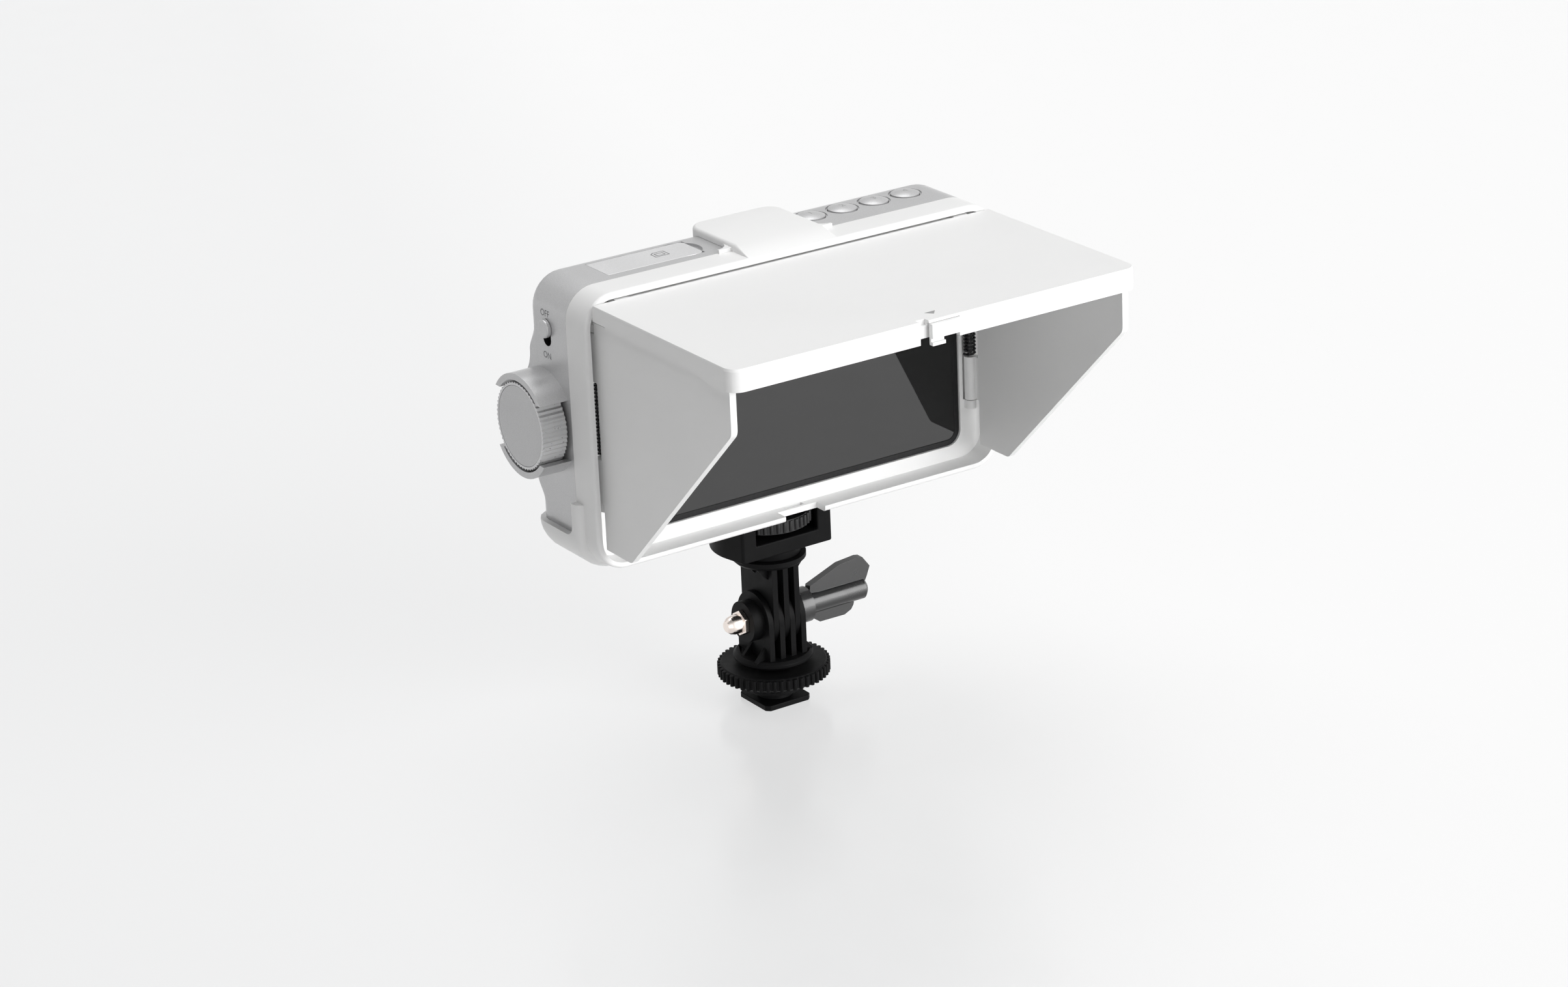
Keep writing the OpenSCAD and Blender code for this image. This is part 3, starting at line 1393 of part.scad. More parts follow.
module lid_latch() {
    front = -lid_reach;
    top = lid_top - latch_drop - fit;
    low = lid_top - front_rim_h + latch_nose_h + fit;
    color(white) on_mount() {
        translate([latch_x[0], front - latch_front, low])
            cube([latch_x[1] - latch_x[0], latch_t, top - low]);
        translate([latch_x[0], front - latch_front + latch_t / 2, low - latch_nose_h - fit])
            cube([latch_nose_w, latch_t / 2, latch_nose_h + latch_nose_h]);
        translate([latch_x[0], front - latch_front, low - latch_nose_h - fit - latch_neck_h / 2])
            cube([latch_nose_w, latch_t, latch_nose_h - latch_neck_h / 2]);
        for (x = latch_pin_x) translate([x, 0, lid_top - front_rim_h / 2])
            rod_y(latch_pin_r, front - latch_front + latch_t - seat,
                front - latch_front + latch_t + latch_pin_len);
    }
}

// A wing, drawn for the side s: -1 is left
module wing(s) {
    x0 = s < 0 ? -wing_axis_x - wing_off - wing_t : wing_axis_x + wing_off;
    color(white) on_mount() difference() {
        union() {
            side_prism(x0, x0 + wing_t)
                wing_outline(rear_y(s), axis_y(s) - wing_clear
                    - norm([wing_axis_x - lid_barrel_x[0], axis_y(s) - lid_axis_y + lid_barrel_r]));
            for (z = [barrel_low_z, barrel_high_z]) {
                translate([s * wing_axis_x, axis_y(s), z[0]]) cylinder(r = barrel_r, h = z[1] - z[0]);
                translate([x0 + (s < 0 ? 0 : wing_t / 4), rear_y(s) - cut, z[0]])
                    cube([wing_t * 3 / 4, axis_y(s) - rear_y(s) + cut, z[1] - z[0]]);
            }
        }
        for (z = [barrel_low_z, barrel_high_z]) translate([s * wing_axis_x, axis_y(s), z[0] - cut])
            cylinder(r = pin_r + run, h = z[1] - z[0] + 2 * cut);
    }
}
// Points of an arc of radius r that rounds the corner p between its neighbours a and b
function unit(v) = v / norm(v);
function round_corner(a, p, b, r) =
    let (u = unit(a - p), v = unit(b - p), half = acos(u * v) / 2,
        c = p + unit(u + v) * r / sin(half), d = r / tan(half),
        from = p + u * d - c, to = p + v * d - c,
        t0 = atan2(from[1], from[0]), turn = atan2(to[1], to[0]) - t0,
        sweep = turn > 180 ? turn - 360 : (turn < -180 ? turn + 360 : turn))
    [for (i = [0 : corner_steps]) let (t = t0 + sweep * i / corner_steps) c + r * [cos(t), sin(t)]];
// Outline of a wing in y and z: upright front, long slope, short lower edge
module wing_outline(rear, step) {
    top = [-wing_reach, wing_high_z];
    bend = [-wing_reach, wing_slope_z];
    tip = [-wing_tip_reach, wing_low_z];
    polygon(concat([[rear, wing_low_z], [rear, wing_top_z], [step, wing_top_z],
        [step - wing_clear, wing_high_z], top], round_corner(top, bend, tip, wing_front_r),
        round_corner(bend, tip, [rear, wing_low_z], wing_tip_r)));
}
module wing_left() { wing(-1); }
module wing_right() { wing(1); }

module wing_pins() {
    color(steel) on_mount() for (s = [-1, 1])
        translate([s * wing_axis_x, axis_y(s), pin_low_z]) cylinder(r = pin_r, h = pin_high_z - pin_low_z);
}

// Torsion spring: its centre line runs straight, winds, and runs straight again
function coil_point(a) = [spring_r * cos(a), spring_r * sin(a), spring_low_z + spring_pitch * a / 360];
function spring_path() = concat(
    [[spring_r, -spring_leg, spring_low_z]],
    [for (i = [0 : spring_turns * spring_rings]) coil_point(i * 360 / spring_rings)],
    [[spring_r, spring_leg, spring_low_z + spring_pitch * spring_turns]]);
// Direction of the line at point i, and a frame that turns with the coil
function along(p, i) = let (a = p[max(i - 1, 0)], b = p[min(i + 1, len(p) - 1)]) (b - a) / norm(b - a);
function outward(q) = [q[0], q[1], 0] / norm([q[0], q[1]]);
module tube_along(p, r, sides) {
    n = len(p);
    rings = [for (i = [0 : n - 1])
        let (t = (i == 0 || i == n - 1) ? [0, 1, 0] : along(p, i),
            o = outward(i == 0 ? p[1] : (i == n - 1 ? p[n - 2] : p[i])),
            u = (o - t * (o * t)) / norm(o - t * (o * t)), v = cross(t, u))
        for (k = [0 : sides - 1]) p[i] + r * (cos(360 * k / sides) * u + sin(360 * k / sides) * v)];
    walls = [for (i = [0 : n - 2], k = [0 : sides - 1])
        let (a = i * sides + k, b = i * sides + (k + 1) % sides)
        each [[a, a + sides, b], [b, a + sides, b + sides]]];
    ends = concat([for (k = [1 : sides - 2]) [0, k, k + 1]],
        [for (k = [1 : sides - 2]) [(n - 1) * sides, (n - 1) * sides + k + 1, (n - 1) * sides + k]]);
    polyhedron(rings, concat(walls, ends));
}
least_gap = min([for (i = [0 : spring_rings * (spring_turns - 1)])
    norm(coil_point(i * 360 / spring_rings) - coil_point(i * 360 / spring_rings + 360))]) - spring_wire;
echo(spring_least_gap = least_gap);
module wing_spring(s) {
    color(black) on_mount() translate([s * wing_axis_x, axis_y(s), 0]) rotate([0, 0, s < 0 ? 0 : 180])
        tube_along(spring_path(), spring_wire / 2, spring_sides);
}
module wing_spring_left() { wing_spring(-1); }
module wing_spring_right() { wing_spring(1); }

shoe_foot();
shoe_washer();
locking_ring();
knuckle_base();
pivot_nut();
knuckle_head();
pivot_bolt();
clamp_knob();
swivel_screw();
mount_block();
mount_pad();
thumbwheel();
mount_stud();
rear_housing();
front_shell();
glass_bezel();
screen_glass();
lcd_panel();
backlight();
chassis_plate();
main_board();
heat_spreader();
thread_insert();
housing_screws();
video_socket();
power_jack();
audio_jack();
battery_plate();
battery_contacts();
battery_release();
plate_screws();
dial_ring();
dial_cap();
dial_shaft();
dial_encoder();
power_slider();
power_switch();
button_1();
button_2();
button_3();
button_4();
button_board();
card_door();
door_pin();
card_socket();
speaker();
hood_frame();
hood_lid();
lid_latch();
lid_pins();
wing_left();
wing_right();
wing_pins();
wing_spring_left();
wing_spring_right();
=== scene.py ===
"""Looks of a camera field monitor with a sun hood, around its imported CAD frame. Metres, row frame."""
import json
import math

import bmesh
import bpy
from mathutils import Matrix, Vector
from mathutils.bvhtree import BVHTree


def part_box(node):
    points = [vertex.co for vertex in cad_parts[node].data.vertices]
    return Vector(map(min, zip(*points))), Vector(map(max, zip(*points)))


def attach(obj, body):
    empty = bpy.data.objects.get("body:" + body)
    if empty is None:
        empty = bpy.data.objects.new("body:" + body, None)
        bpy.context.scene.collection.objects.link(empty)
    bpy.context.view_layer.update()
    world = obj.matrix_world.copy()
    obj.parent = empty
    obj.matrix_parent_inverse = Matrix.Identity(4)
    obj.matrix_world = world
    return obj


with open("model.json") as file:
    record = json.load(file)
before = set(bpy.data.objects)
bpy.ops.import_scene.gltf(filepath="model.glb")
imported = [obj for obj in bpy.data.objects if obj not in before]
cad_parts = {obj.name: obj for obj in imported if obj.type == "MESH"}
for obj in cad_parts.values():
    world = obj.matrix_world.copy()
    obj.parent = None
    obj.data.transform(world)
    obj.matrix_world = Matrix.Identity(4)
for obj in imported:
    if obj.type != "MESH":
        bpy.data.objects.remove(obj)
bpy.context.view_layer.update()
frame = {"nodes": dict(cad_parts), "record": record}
NODES = frame["nodes"]
MM = 0.001
SCENE = bpy.context.scene

# Where the monitor's own millimetres lie in the row frame: its swivel axis and the height of its foot
SWIVEL_Y = 24.3
MONITOR_Z = 74.9
# Left side, back and top of the monitor's body, and top of the lid, in the monitor's own millimetres
SIDE_X = -81.6
BACK_Y = 36.55
TOP_Z = 95.3
LID_TOP_Z = 92.8


def place(x, y, z):
    """A point of the monitor, given from the hood's front lip and foot in millimetres, in the row frame."""
    return Vector((x, y - SWIVEL_Y, z + MONITOR_Z)) * MM


def add_mesh(name, points, faces, material):
    """A smooth mesh object in the scene."""
    mesh = bpy.data.meshes.new(name)
    mesh.from_pydata(points, [], faces)
    mesh.shade_smooth()
    mesh.materials.append(material)
    made = bpy.data.objects.new(name, mesh)
    SCENE.collection.objects.link(made)
    return made


# ---------------------------------------------------------------- camera

AZIMUTH = math.radians(-32.76)
ELEVATION = math.radians(21.19)
ROLL = math.radians(-2.49)
TARGET = Vector((-8.36, -24.3, 85.6)) * MM
DISTANCE = 1.414
LENS_MM = 96.74
SENSOR_MM = 36
CLIP = (0.05, 50)


def make_camera():
    back = Vector((math.sin(AZIMUTH) * math.cos(ELEVATION), -math.cos(AZIMUTH) * math.cos(ELEVATION),
                   math.sin(ELEVATION)))
    right = Vector((math.cos(AZIMUTH), math.sin(AZIMUTH), 0))
    up = back.cross(right)
    right, up = (right * math.cos(ROLL) + up * math.sin(ROLL), up * math.cos(ROLL) - right * math.sin(ROLL))
    data = bpy.data.cameras.new("camera")
    data.sensor_width = SENSOR_MM
    data.lens = LENS_MM
    data.clip_start, data.clip_end = CLIP
    camera = bpy.data.objects.new("camera", data)
    turn = Matrix((right, up, back)).transposed().to_4x4()
    camera.matrix_world = Matrix.Translation(TARGET + back * DISTANCE) @ turn
    SCENE.collection.objects.link(camera)
    SCENE.camera = camera


# ---------------------------------------------------------------- materials

class Nodes:
    """Small helper that builds a node tree line by line."""

    def __init__(self, name):
        self.material = bpy.data.materials.new(name)
        self.material.use_nodes = True
        self.tree = self.material.node_tree
        self.tree.nodes.clear()
        out = self.add("ShaderNodeOutputMaterial")
        self.shader = self.add("ShaderNodeBsdfPrincipled")
        self.join(self.shader.outputs[0], out.inputs[0])
        self.coords = self.add("ShaderNodeTexCoord").outputs["Object"]

    def add(self, kind, **settings):
        node = self.tree.nodes.new(kind)
        for key, value in settings.items():
            setattr(node, key, value)
        return node

    def join(self, a, b):
        self.tree.links.new(a, b)

    def feed(self, node, **values):
        """Values for the sockets of a node, with _ for a space in a socket's name. A socket joins."""
        for key, value in values.items():
            socket = node.inputs[key.replace("_", " ")]
            if isinstance(value, bpy.types.NodeSocket):
                self.join(value, socket)
            else:
                socket.default_value = value
        return node

    def noise(self, scale, detail=2.0, rough=0.5, stretch=None):
        source = self.coords
        if stretch:
            source = self.feed(self.add("ShaderNodeMapping"), Vector=source, Scale=stretch).outputs[0]
        node = self.feed(self.add("ShaderNodeTexNoise"), Vector=source, Scale=scale, Detail=detail,
                         Roughness=rough)
        return node.outputs["Fac"]

    def ramp(self, source, low, high, start=0.3, end=0.7):
        """source from start to end becomes low to high, as numbers or as colours."""
        node = self.feed(self.add("ShaderNodeMapRange"), Value=source, From_Min=start, From_Max=end)
        if isinstance(low, (int, float)):
            return self.feed(node, To_Min=low, To_Max=high).outputs[0]
        mix = self.add("ShaderNodeMix", data_type="RGBA")
        self.join(node.outputs[0], mix.inputs["Factor"])
        for socket, colour in zip([s for s in mix.inputs if s.type == "RGBA"], (low, high)):
            socket.default_value = (*colour, 1)
        return next(s for s in mix.outputs if s.type == "RGBA")

    def bump(self, source, distance, strength=1.0, under=None):
        node = self.feed(self.add("ShaderNodeBump"), Strength=strength, Distance=distance, Height=source)
        if under is not None:
            self.join(under, node.inputs["Normal"])
        return node.outputs[0]

    def finish(self, **values):
        self.feed(self.shader, **values)
        return self.material


def shade(colour, share):
    return tuple(min(1.0, share * c) for c in colour)


def plastic(name, colour, dark, roughness, grain=2600, grain_depth=0.000012, specular=0.5):
    """Moulded plastic: fine texture from the mould, faint flow marks, and roughness that varies a little."""
    n = Nodes(name)
    flow, fine, wear = n.noise(22, 3), n.noise(grain, 2, 0.6), n.noise(160, 4, 0.6)
    return n.finish(Base_Color=n.ramp(flow, dark, colour, 0.3, 0.6),
                    Roughness=n.ramp(wear, roughness - 0.05, roughness + 0.05),
                    Normal=n.bump(fine, grain_depth), Specular_IOR_Level=specular)


def painted_silver(name, colour, roughness):
    """Silver paint: small metal flakes at slightly different tilts under a thin clear coat."""
    n = Nodes(name)
    flakes = n.feed(n.add("ShaderNodeTexVoronoi", feature="F1"), Vector=n.coords, Scale=9000)
    split = n.add("ShaderNodeSeparateColor")
    n.join(flakes.outputs["Color"], split.inputs[0])
    tone, tilt, metal_share = split.outputs
    orange_peel = n.noise(420, 2)
    tilted = n.bump(tilt, 0.000004, 0.35)
    return n.finish(Base_Color=n.ramp(tone, shade(colour, 0.9), shade(colour, 1.08), 0.2, 0.95),
                    Metallic=n.ramp(metal_share, 0.3, 0.6, 0, 1),
                    Roughness=n.ramp(n.noise(60, 3), roughness - 0.04, roughness + 0.04),
                    Normal=n.bump(orange_peel, 0.0000015, 1, tilted), Coat_Weight=0.25, Coat_Roughness=0.18)


def metal(name, colour, roughness, brushed=None, metallic=1.0):
    """Bare metal with fine tool marks, faint stains and roughness that follows the marks."""
    n = Nodes(name)
    lines, stain = n.noise(900, 3, 0.6, brushed), n.noise(120, 4)
    return n.finish(Base_Color=n.ramp(stain, shade(colour, 0.93), colour), Metallic=metallic,
                    Roughness=n.ramp(lines, roughness * 0.75, roughness * 1.3),
                    Normal=n.bump(lines, 0.000004))


def cover_glass(name):
    """Dark glass over the screen, with a faint smear."""
    n = Nodes(name)
    smear = n.noise(45, 4, 0.6)
    return n.finish(Base_Color=n.ramp(smear, (0.002, 0.002, 0.0022), (0.003, 0.003, 0.0033)),
                    Roughness=n.ramp(smear, 0.03, 0.06, 0.45, 0.8), Normal=n.bump(n.noise(9, 1), 0.000004),
                    IOR=1.5)


def make_materials():
    return {
        "white": plastic("white satin plastic", (0.86, 0.86, 0.857), (0.845, 0.845, 0.842), 0.45),
        "silver": painted_silver("silver metallic paint", (0.53, 0.53, 0.535), 0.33),
        # Silver paint made darker: painted shade on the dial's left-facing face
        "silver_painted_shade": painted_silver("silver paint with painted shade", (0.5, 0.5, 0.505), 0.42),
        # Silver paint made paler: painted light on the card door's top
        "silver_painted_light": painted_silver("silver paint with painted light", (0.72, 0.72, 0.725), 0.36),
        "knurl": metal("turned aluminium", (0.62, 0.62, 0.625), 0.34, metallic=0.5),
        "black": plastic("satin black plastic", (0.0045, 0.0045, 0.0048), (0.0035, 0.0035, 0.0037), 0.5,
                         grain_depth=0.00001, specular=0.09),
        "wheel": plastic("black rubbery plastic", (0.01, 0.01, 0.0105), (0.008, 0.008, 0.0085), 0.42,
                         specular=0.4),
        "knob": plastic("glossier black plastic", (0.007, 0.007, 0.0075), (0.005, 0.005, 0.0055), 0.24,
                        grain_depth=0.000005, specular=0.75),
        "matt_black": plastic("matt black plastic", (0.009, 0.009, 0.0095), (0.007, 0.007, 0.0075), 0.5,
                              specular=0.25),
        "rubber": plastic("rubber pad", (0.02, 0.02, 0.02), (0.014, 0.014, 0.014), 0.75,
                          grain=1500, grain_depth=0.00003),
        "nickel": metal("bright nickel", (0.93, 0.84, 0.78), 0.2),
        "steel": metal("plain steel", (0.6, 0.6, 0.6), 0.3),
        "wire": metal("black spring wire", (0.03, 0.03, 0.032), 0.25, metallic=0.6),
        "brass": metal("turned brass", (0.75, 0.56, 0.27), 0.28, brushed=(1, 1, 30)),
        "board": plastic("green solder mask", (0.02, 0.16, 0.07), (0.015, 0.12, 0.05), 0.35,
                         grain=900, grain_depth=0.00004),
        "diffuser": plastic("white diffuser", (0.8, 0.8, 0.8), (0.77, 0.77, 0.77), 0.6),
        "display": plastic("dark display", (0.006, 0.006, 0.007), (0.005, 0.005, 0.006), 0.2),
        "glass": cover_glass("cover glass"),
        "ink": plastic("grey printing ink", (0.11, 0.11, 0.115), (0.09, 0.09, 0.095), 0.5),
        "pale_ink": plastic("pale grey printing ink", (0.33, 0.33, 0.33), (0.3, 0.3, 0.3), 0.5),
    }


SLOT_LOOKS = {
    "white_plastic": "white", "silver_paint": "silver", "black_plastic": "black", "inner_black": "matt_black",
    "rubber_pad": "rubber", "bright_nickel": "nickel", "steel": "steel", "spring_wire": "wire",
    "screen_glass": "glass", "display": "display", "light_guide": "diffuser", "circuit_board": "board",
    "brass": "brass"}
# Nodes that look different from the rest of their slot; the dial face and the card door get the silver paint
# made darker and paler, as painted shade and painted light
NODE_LOOKS = {
    "dial_cap": "silver_painted_shade", "dial_ring": "knurl", "clamp_knob": "knob", "power_slider": "matt_black",
    "thumbwheel": "wheel", "card_door": "silver_painted_light"}
# Width of the rounded edges of each node that shows, in millimetres
EDGES = {
    "hood_frame": 0.45, "hood_lid": 0.5, "wing_left": 0.35, "wing_right": 0.35, "lid_latch": 0.3,
    "rear_housing": 0.3, "card_door": 0.2, "dial_cap": 0.25, "mount_block": 0.5, "thumbwheel": 0.2,
    "locking_ring": 0.2, "shoe_foot": 0.3, "shoe_washer": 0.3, "knuckle_base": 0.3, "knuckle_head": 0.3,
    "clamp_knob": 0.6, "pivot_nut": 0.3, "battery_plate": 0.4, "battery_contacts": 0.2,
    "battery_release": 0.3, "glass_bezel": 0.15}
WELD_MM = 0.001
FLAT_ANGLE = math.radians(0.5)
SMOOTH_ANGLE = math.radians(34)


def modify(node, name, kind, **settings):
    modifier = node.modifiers.new(name, kind)
    for key, value in settings.items():
        setattr(modifier, key, value)


def dress_nodes(m):
    """Gives each CAD node its material, smooth faces and soft edges."""
    slots = {s["node"]: s["material_slot"] for s in frame["record"]["subparts"]}
    for name, node in NODES.items():
        node.data.materials.clear()
        node.data.materials.append(m[NODE_LOOKS.get(name, SLOT_LOOKS[slots[name]])])
        node.data.shade_smooth()
        modify(node, "joined faces", "WELD", merge_threshold=WELD_MM * MM)
        if name in EDGES:
            modify(node, "flat faces", "DECIMATE", decimate_type="DISSOLVE", angle_limit=FLAT_ANGLE)
            modify(node, "soft edges", "BEVEL", width=EDGES[name] * MM, segments=3, limit_method="ANGLE",
                   angle_limit=SMOOTH_ANGLE, use_clamp_overlap=True)
            modify(node, "even shading", "WEIGHTED_NORMAL", keep_sharp=True)
        else:
            modify(node, "creases", "EDGE_SPLIT", split_angle=SMOOTH_ANGLE, use_edge_sharp=False)


# ---------------------------------------------------------------- printed marks

# Height that prints are laid down from, how far down they may go, how far they stand off the surface, and
# the longest edge that they bend with, in millimetres
PRINT_FROM, PRINT_REACH, PRINT_LIFT, PRINT_STEP = 5, 12, 0.015, 0.7
KEY_NUMBER_SIZE, SIDE_LETTER_SIZE, CARD_LINE = 3.6, 3.2, 0.3


def surface(node):
    mesh = node.data
    return BVHTree.FromPolygons([v.co for v in mesh.vertices], [p.vertices for p in mesh.polygons])


def lay_on(bm, tree, origin, right, up):
    """Moves flat points, given along right and up from origin, down onto a surface."""
    out = right.cross(up)
    for v in bm.verts:
        start = origin + right * v.co.x + up * v.co.y + out * PRINT_FROM * MM
        hit = tree.ray_cast(start, -out, PRINT_REACH * MM)
        v.co = (hit[0] if hit[0] else start - out * PRINT_FROM * MM) + out * PRINT_LIFT * MM


def printed(name, bm, node, body, origin, right, up, material):
    """A thin print on a CAD node: bm holds its flat outline in metres round (0, 0)."""
    bmesh.ops.triangulate(bm, faces=bm.faces[:])
    for _ in range(3):
        long = [e for e in bm.edges if e.calc_length() > PRINT_STEP * MM]
        if long:
            bmesh.ops.subdivide_edges(bm, edges=long, cuts=1)
            bmesh.ops.triangulate(bm, faces=bm.faces[:])
    lay_on(bm, surface(NODES[node]), origin, right, up)
    mesh = bpy.data.meshes.new(name)
    bm.to_mesh(mesh)
    bm.free()
    mesh.materials.append(material)
    mark = bpy.data.objects.new(name, mesh)
    SCENE.collection.objects.link(mark)
    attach(mark, body)


def letters(text, size):
    """Flat outline of a few plain letters, centred, in metres."""
    curve = bpy.data.curves.new("letters", "FONT")
    curve.body = text
    curve.size = size * MM
    curve.resolution_u = 4
    curve.align_x, curve.align_y = "CENTER", "CENTER"
    holder = bpy.data.objects.new("letters", curve)
    SCENE.collection.objects.link(holder)
    mesh = bpy.data.meshes.new_from_object(holder.evaluated_get(bpy.context.evaluated_depsgraph_get()))
    bm = bmesh.new()
    bm.from_mesh(mesh)
    bpy.data.objects.remove(holder)
    bpy.data.curves.remove(curve)
    bpy.data.meshes.remove(mesh)
    return bm


def shapes(*loops):
    """Flat outlines, each a list of points in millimetres."""
    bm = bmesh.new()
    for loop in loops:
        bm.faces.new([bm.verts.new((x * MM, y * MM, 0)) for x, y in loop])
    return bm


def strokes(width, *lines):
    """Lines of even width, each a list of points in millimetres."""
    quads = []
    for line in lines:
        for (x0, y0), (x1, y1) in zip(line, line[1:]):
            long = math.hypot(x1 - x0, y1 - y0)
            ex, ey = (x1 - x0) / long * width / 2, (y1 - y0) / long * width / 2
            quads.append([(x0 - ex - ey, y0 - ey + ex), (x0 - ex + ey, y0 - ey - ex),
                          (x1 + ex + ey, y1 + ey - ex), (x1 + ex - ey, y1 + ey + ex)])
    return shapes(*quads)


def make_marks(m):
    """Numbers on the keys, off and on beside the slide, the lid's triangle and the card door's card."""
    x, y, z = Vector((1, 0, 0)), Vector((0, 1, 0)), Vector((0, 0, 1))
    for i in range(1, 5):
        low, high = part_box(f"button_{i}")
        centre = (Vector(low) + Vector(high)) / 2
        centre.z = high[2]
        printed(f"key_number_{i}", letters(str(i), KEY_NUMBER_SIZE), f"button_{i}", f"key_{i}", centre, x, y,
                m["pale_ink"])
    for name, word, word_y, word_z in (("mark_off", "OFF", 25.2, 84.2), ("mark_on", "ON", 25.1, 69.7)):
        printed(name, letters(word, SIDE_LETTER_SIZE), "rear_housing", "monitor",
                place(SIDE_X, word_y, word_z), -y, z, m["ink"])
    printed("lid_triangle", shapes([(-2.1, 1.2), (0, -1.3), (2.1, 1.2)]), "hood_lid", "lid",
            place(0.6, -76.6, LID_TOP_Z), x, y, m["pale_ink"])
    card = [(-2.6, -2.1), (2.6, -2.1), (2.6, 2.1), (-1.4, 2.1), (-2.6, 1.1), (-2.6, -2.1)]
    inner = [(-1.5, -1.2), (1.5, -1.2), (1.5, 0.8), (-1.5, 0.8), (-1.5, -1.2)]
    printed("card_mark", strokes(CARD_LINE, card, inner), "card_door", "door", place(-37.5, 24.2, TOP_Z),
            x, y, m["ink"])


# ---------------------------------------------------------------- small forms beside the CAD pieces

# Power slider, in millimetres: its middle along y, and the middle, radius, foot, rim and edge of its cap.
# CAP_FACE is the dished face, as radius and distance out from the swivel axis.
SLIDER_Y, CAP_Z, CAP_R, CAP_FOOT, CAP_RIM, CAP_EDGE = 24.6, 79.3, 3.15, 81.75, 82.7, 0.55
CAP_FACE = [(1.9, 83.22), (1.0, 83.15), (0.3, 83.13)]
# Black sheet inside its slot, a painted shadow: middle, half the distance between its round ends, radius,
# wall, outer and inner end
SLOT_Z, SLOT_HALF, SLOT_R, SLOT_WALL, SLOT_OUT, SLOT_IN = 77.8, 2.2, 2.48, 0.1, -81.57, -79.7
# Blends at the ends of the swelling: middle of the dial, where a blend starts above it, how far it rises,
# how far it reaches down beside the swelling, the body's edge radius, the sharpest radius, and how far it
# stands off the body at its start
DIAL_Z, BLEND_START, BLEND_RISE, BLEND_DOWN, BACK_EDGE, SHARP, PROUD = 46.85, 22.05, 8.5, 6.8, 5.0, 0.02, 0.01
BLEND_STEPS, BLEND_DOWN_STEPS, BLEND_ARC = 12, 4, 10


def quarter(steps, first=0):
    """Angles of a quarter turn."""
    return [math.pi / 2 * i / steps for i in range(first, steps + 1)]


def piece(name, mesh_parts, body, material):
    """A new piece from points in the monitor's own millimetres and the faces between them."""
    points, faces = mesh_parts
    made = add_mesh(name, [place(*p) for p in points], faces, material)
    bm = bmesh.new()
    bm.from_mesh(made.data)
    bmesh.ops.recalc_face_normals(bm, faces=bm.faces)
    bm.to_mesh(made.data)
    bm.free()
    made.data.set_sharp_from_angle(angle=SMOOTH_ANGLE)
    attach(made, body)


def rings(loops, closed):
    """Faces between loops of equal length, with the ends filled in where closed."""
    n = len(loops[0])
    faces = [(i * n + j, i * n + (j + 1) % n, (i + 1) * n + (j + 1) % n, (i + 1) * n + j)
             for i in range(len(loops) - 1) for j in range(n)]
    if closed:
        faces += [tuple(range(n))[::-1], tuple(range((len(loops) - 1) * n, len(loops) * n))]
    return [p for loop in loops for p in loop], faces


def make_slider_cap(m):
    """Round cap on the power slider, with a soft rim and a slightly dished face."""
    profile = [(CAP_R, CAP_FOOT), (CAP_R, CAP_RIM)]
    profile += [(CAP_R - CAP_EDGE + CAP_EDGE * math.cos(t), CAP_RIM + CAP_EDGE * math.sin(t))
                for t in quarter(5, 1)]
    turns = [2 * math.pi * i / 48 for i in range(48)]
    loops = [[(-x, SLIDER_Y + r * math.cos(t), CAP_Z + r * math.sin(t)) for t in turns]
             for r, x in profile + CAP_FACE]
    piece("slider_cap", rings(loops, True), "power", m["silver"])


def make_slot_liner(m):
    """Black sheet lining the power slider's slot, a painted shadow inside it."""
    def stadium(r, x):
        arc = [math.pi * i / 16 for i in range(17)]
        return ([(x, SLIDER_Y + r * math.cos(t), SLOT_Z + SLOT_HALF + r * math.sin(t)) for t in arc]
                + [(x, SLIDER_Y - r * math.cos(t), SLOT_Z - SLOT_HALF - r * math.sin(t)) for t in arc])
    inner = SLOT_R - SLOT_WALL
    loops = [stadium(SLOT_R, SLOT_OUT), stadium(SLOT_R, SLOT_IN), stadium(inner, SLOT_IN),
             stadium(inner, SLOT_OUT), stadium(SLOT_R, SLOT_OUT)]
    piece("slider_slot_painted_shadow", rings(loops, False), "monitor", m["matt_black"])


def make_swelling_blends(m):
    """Runs the ends of the swelling behind the dial smoothly into the body's rounded back edge."""
    x_in, y_in = SIDE_X + BACK_EDGE, BACK_Y - BACK_EDGE
    for side, name in ((1, "swelling_blend_upper"), (-1, "swelling_blend_lower")):
        loops = []
        for i in range(-BLEND_DOWN_STEPS, BLEND_STEPS + 1):
            t = max(0.0, i / BLEND_STEPS)
            down = BLEND_DOWN * min(0, i) / BLEND_DOWN_STEPS
            r = max(SHARP, BACK_EDGE * t * t * (3 - 2 * t))
            z = DIAL_Z + side * (BLEND_START + BLEND_RISE * t + down)
            low, back = SIDE_X - PROUD * (1 - t), BACK_Y + PROUD * (1 - t)
            outer = [(low + r - r * math.cos(a), back - r + r * math.sin(a), z) for a in quarter(BLEND_ARC)]
            loops.append([(low, y_in, z)] + outer + [(x_in, back, z), (x_in, y_in, z)])
        piece(name, rings(loops, True), "monitor", m["silver"])


# ---------------------------------------------------------------- stage

# Half the floor's width, where its far edge bends up, the bend's radius and the backdrop's top, in metres
FLOOR_HALF, FLOOR_DEPTH, BEND_R, BACKDROP_TOP, BEND_STEPS = 9.0, 4.5, 1.5, 6.0, 16
# The floor glows paler to the right and far away, painted light that falls off towards the left: direction of
# the change, where it starts and ends, and the glow at both ends
PALER_ALONG, PALER_FROM, PALER_TO = (1, 0.25, 0), -0.04, 0.13
PAINTED_FALLOFF_LEFT, PAINTED_FALLOFF_RIGHT = (0.6, 0.602, 0.604), (0.665, 0.665, 0.665)
# Colour of the floor for the light that it sends on, and as it is seen
FLOOR_LIT, FLOOR_SEEN = (0.72, 0.72, 0.72), (0.23, 0.23, 0.23)
ROOM_LIGHT, WALL_COLOUR = 0.14, (0.9, 0.9, 0.9, 1)
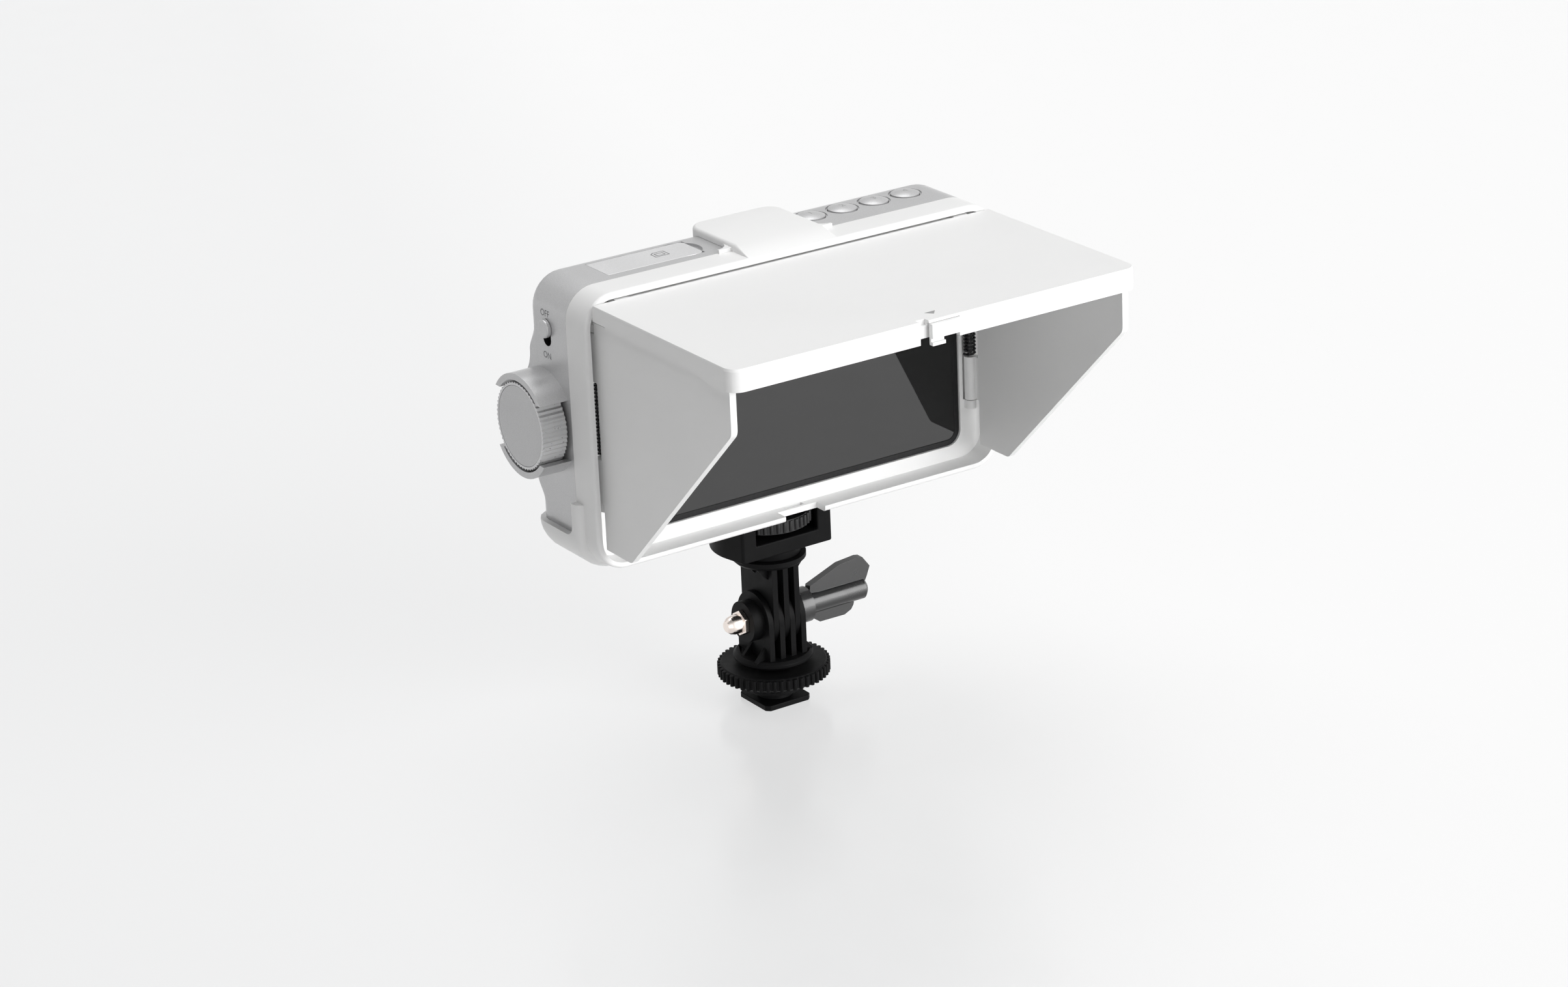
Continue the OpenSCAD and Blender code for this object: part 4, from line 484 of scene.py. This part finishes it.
# Name, place, point that it faces, width and power of each lamp
LAMPS = [("overhead", (0.0, 0.35, 1.75), (0, 0, 0.1), 1.6, 20.6),
         ("front", (0.62, -1.55, 0.65), (0, 0, 0.12), 1.3, 30),
         ("left_fill", (-0.95, -0.9, 0.2), (0, 0, 0.12), 0.8, 1.8)]


def seen_by_eye(tree):
    """1 for rays from the camera, in gloss and through glass, 0 for the light that falls on things."""
    path = tree.nodes.new("ShaderNodeLightPath")
    value = path.outputs["Is Camera Ray"]
    for other in ("Is Glossy Ray", "Is Transmission Ray"):
        either = tree.nodes.new("ShaderNodeMath")
        either.operation = "MAXIMUM"
        tree.links.new(value, either.inputs[0])
        tree.links.new(path.outputs[other], either.inputs[1])
        value = either.outputs[0]
    return value


def floor_paper():
    n = Nodes("studio floor")
    seen = seen_by_eye(n.tree)
    spread = n.add("ShaderNodeVectorMath", operation="DOT_PRODUCT")
    n.join(n.coords, spread.inputs[0])
    spread.inputs[1].default_value = PALER_ALONG
    # Glow that grows paler to the right: painted light falling off towards the left
    painted_falloff = n.ramp(spread.outputs["Value"], PAINTED_FALLOFF_LEFT, PAINTED_FALLOFF_RIGHT, PALER_FROM, PALER_TO)
    return n.finish(Base_Color=n.ramp(seen, FLOOR_LIT, FLOOR_SEEN, 0, 1), Emission_Color=painted_falloff,
                    Emission_Strength=seen, Roughness=n.ramp(n.noise(60, 3), 0.2, 0.26),
                    Normal=n.bump(n.noise(700, 2), 0.000005))


def make_stage():
    """A pale floor that curves up into a backdrop."""
    rows = [(-FLOOR_HALF, 0.0), (FLOOR_DEPTH, 0.0)]
    rows += [(FLOOR_DEPTH + BEND_R * math.sin(t), BEND_R - BEND_R * math.cos(t))
             for t in quarter(BEND_STEPS, 1)]
    rows.append((FLOOR_DEPTH + BEND_R, BACKDROP_TOP))
    points = [(x, y, z) for y, z in rows for x in (-FLOOR_HALF, FLOOR_HALF)]
    faces = [(2 * i, 2 * i + 1, 2 * i + 3, 2 * i + 2) for i in range(len(rows) - 1)]
    floor = add_mesh("studio_floor", points, faces, floor_paper())
    floor.rotation_euler[2] = AZIMUTH


def make_world():
    """Soft light from all sides, in a room whose walls show pale in gloss."""
    world = bpy.data.worlds.new("studio")
    SCENE.world = world
    world.use_nodes = True
    tree = world.node_tree
    tree.nodes.clear()
    mix, out = tree.nodes.new("ShaderNodeMixShader"), tree.nodes.new("ShaderNodeOutputWorld")
    room, walls = (tree.nodes.new("ShaderNodeBackground") for _ in range(2))
    room.inputs["Color"].default_value = (1, 1, 1, 1)
    room.inputs["Strength"].default_value = ROOM_LIGHT
    walls.inputs["Color"].default_value = WALL_COLOUR
    for i, source in enumerate((seen_by_eye(tree), room.outputs[0], walls.outputs[0])):
        tree.links.new(source, mix.inputs[i])
    tree.links.new(mix.outputs[0], out.inputs[0])


def make_lamps():
    for name, spot, aim, width, power in LAMPS:
        data = bpy.data.lights.new(name, "AREA")
        data.energy = power
        data.size = width
        lamp = bpy.data.objects.new(name, data)
        lamp.location = spot
        lamp.rotation_euler = (Vector(aim) - Vector(spot)).to_track_quat("-Z", "Y").to_euler()
        lamp.visible_camera = False
        SCENE.collection.objects.link(lamp)


# ---------------------------------------------------------------- main

MATERIALS = make_materials()
dress_nodes(MATERIALS)
make_camera()
make_marks(MATERIALS)
make_slider_cap(MATERIALS)
make_slot_liner(MATERIALS)
make_swelling_blends(MATERIALS)
make_stage()
make_world()
make_lamps()
SCENE.view_settings.view_transform = "Standard"
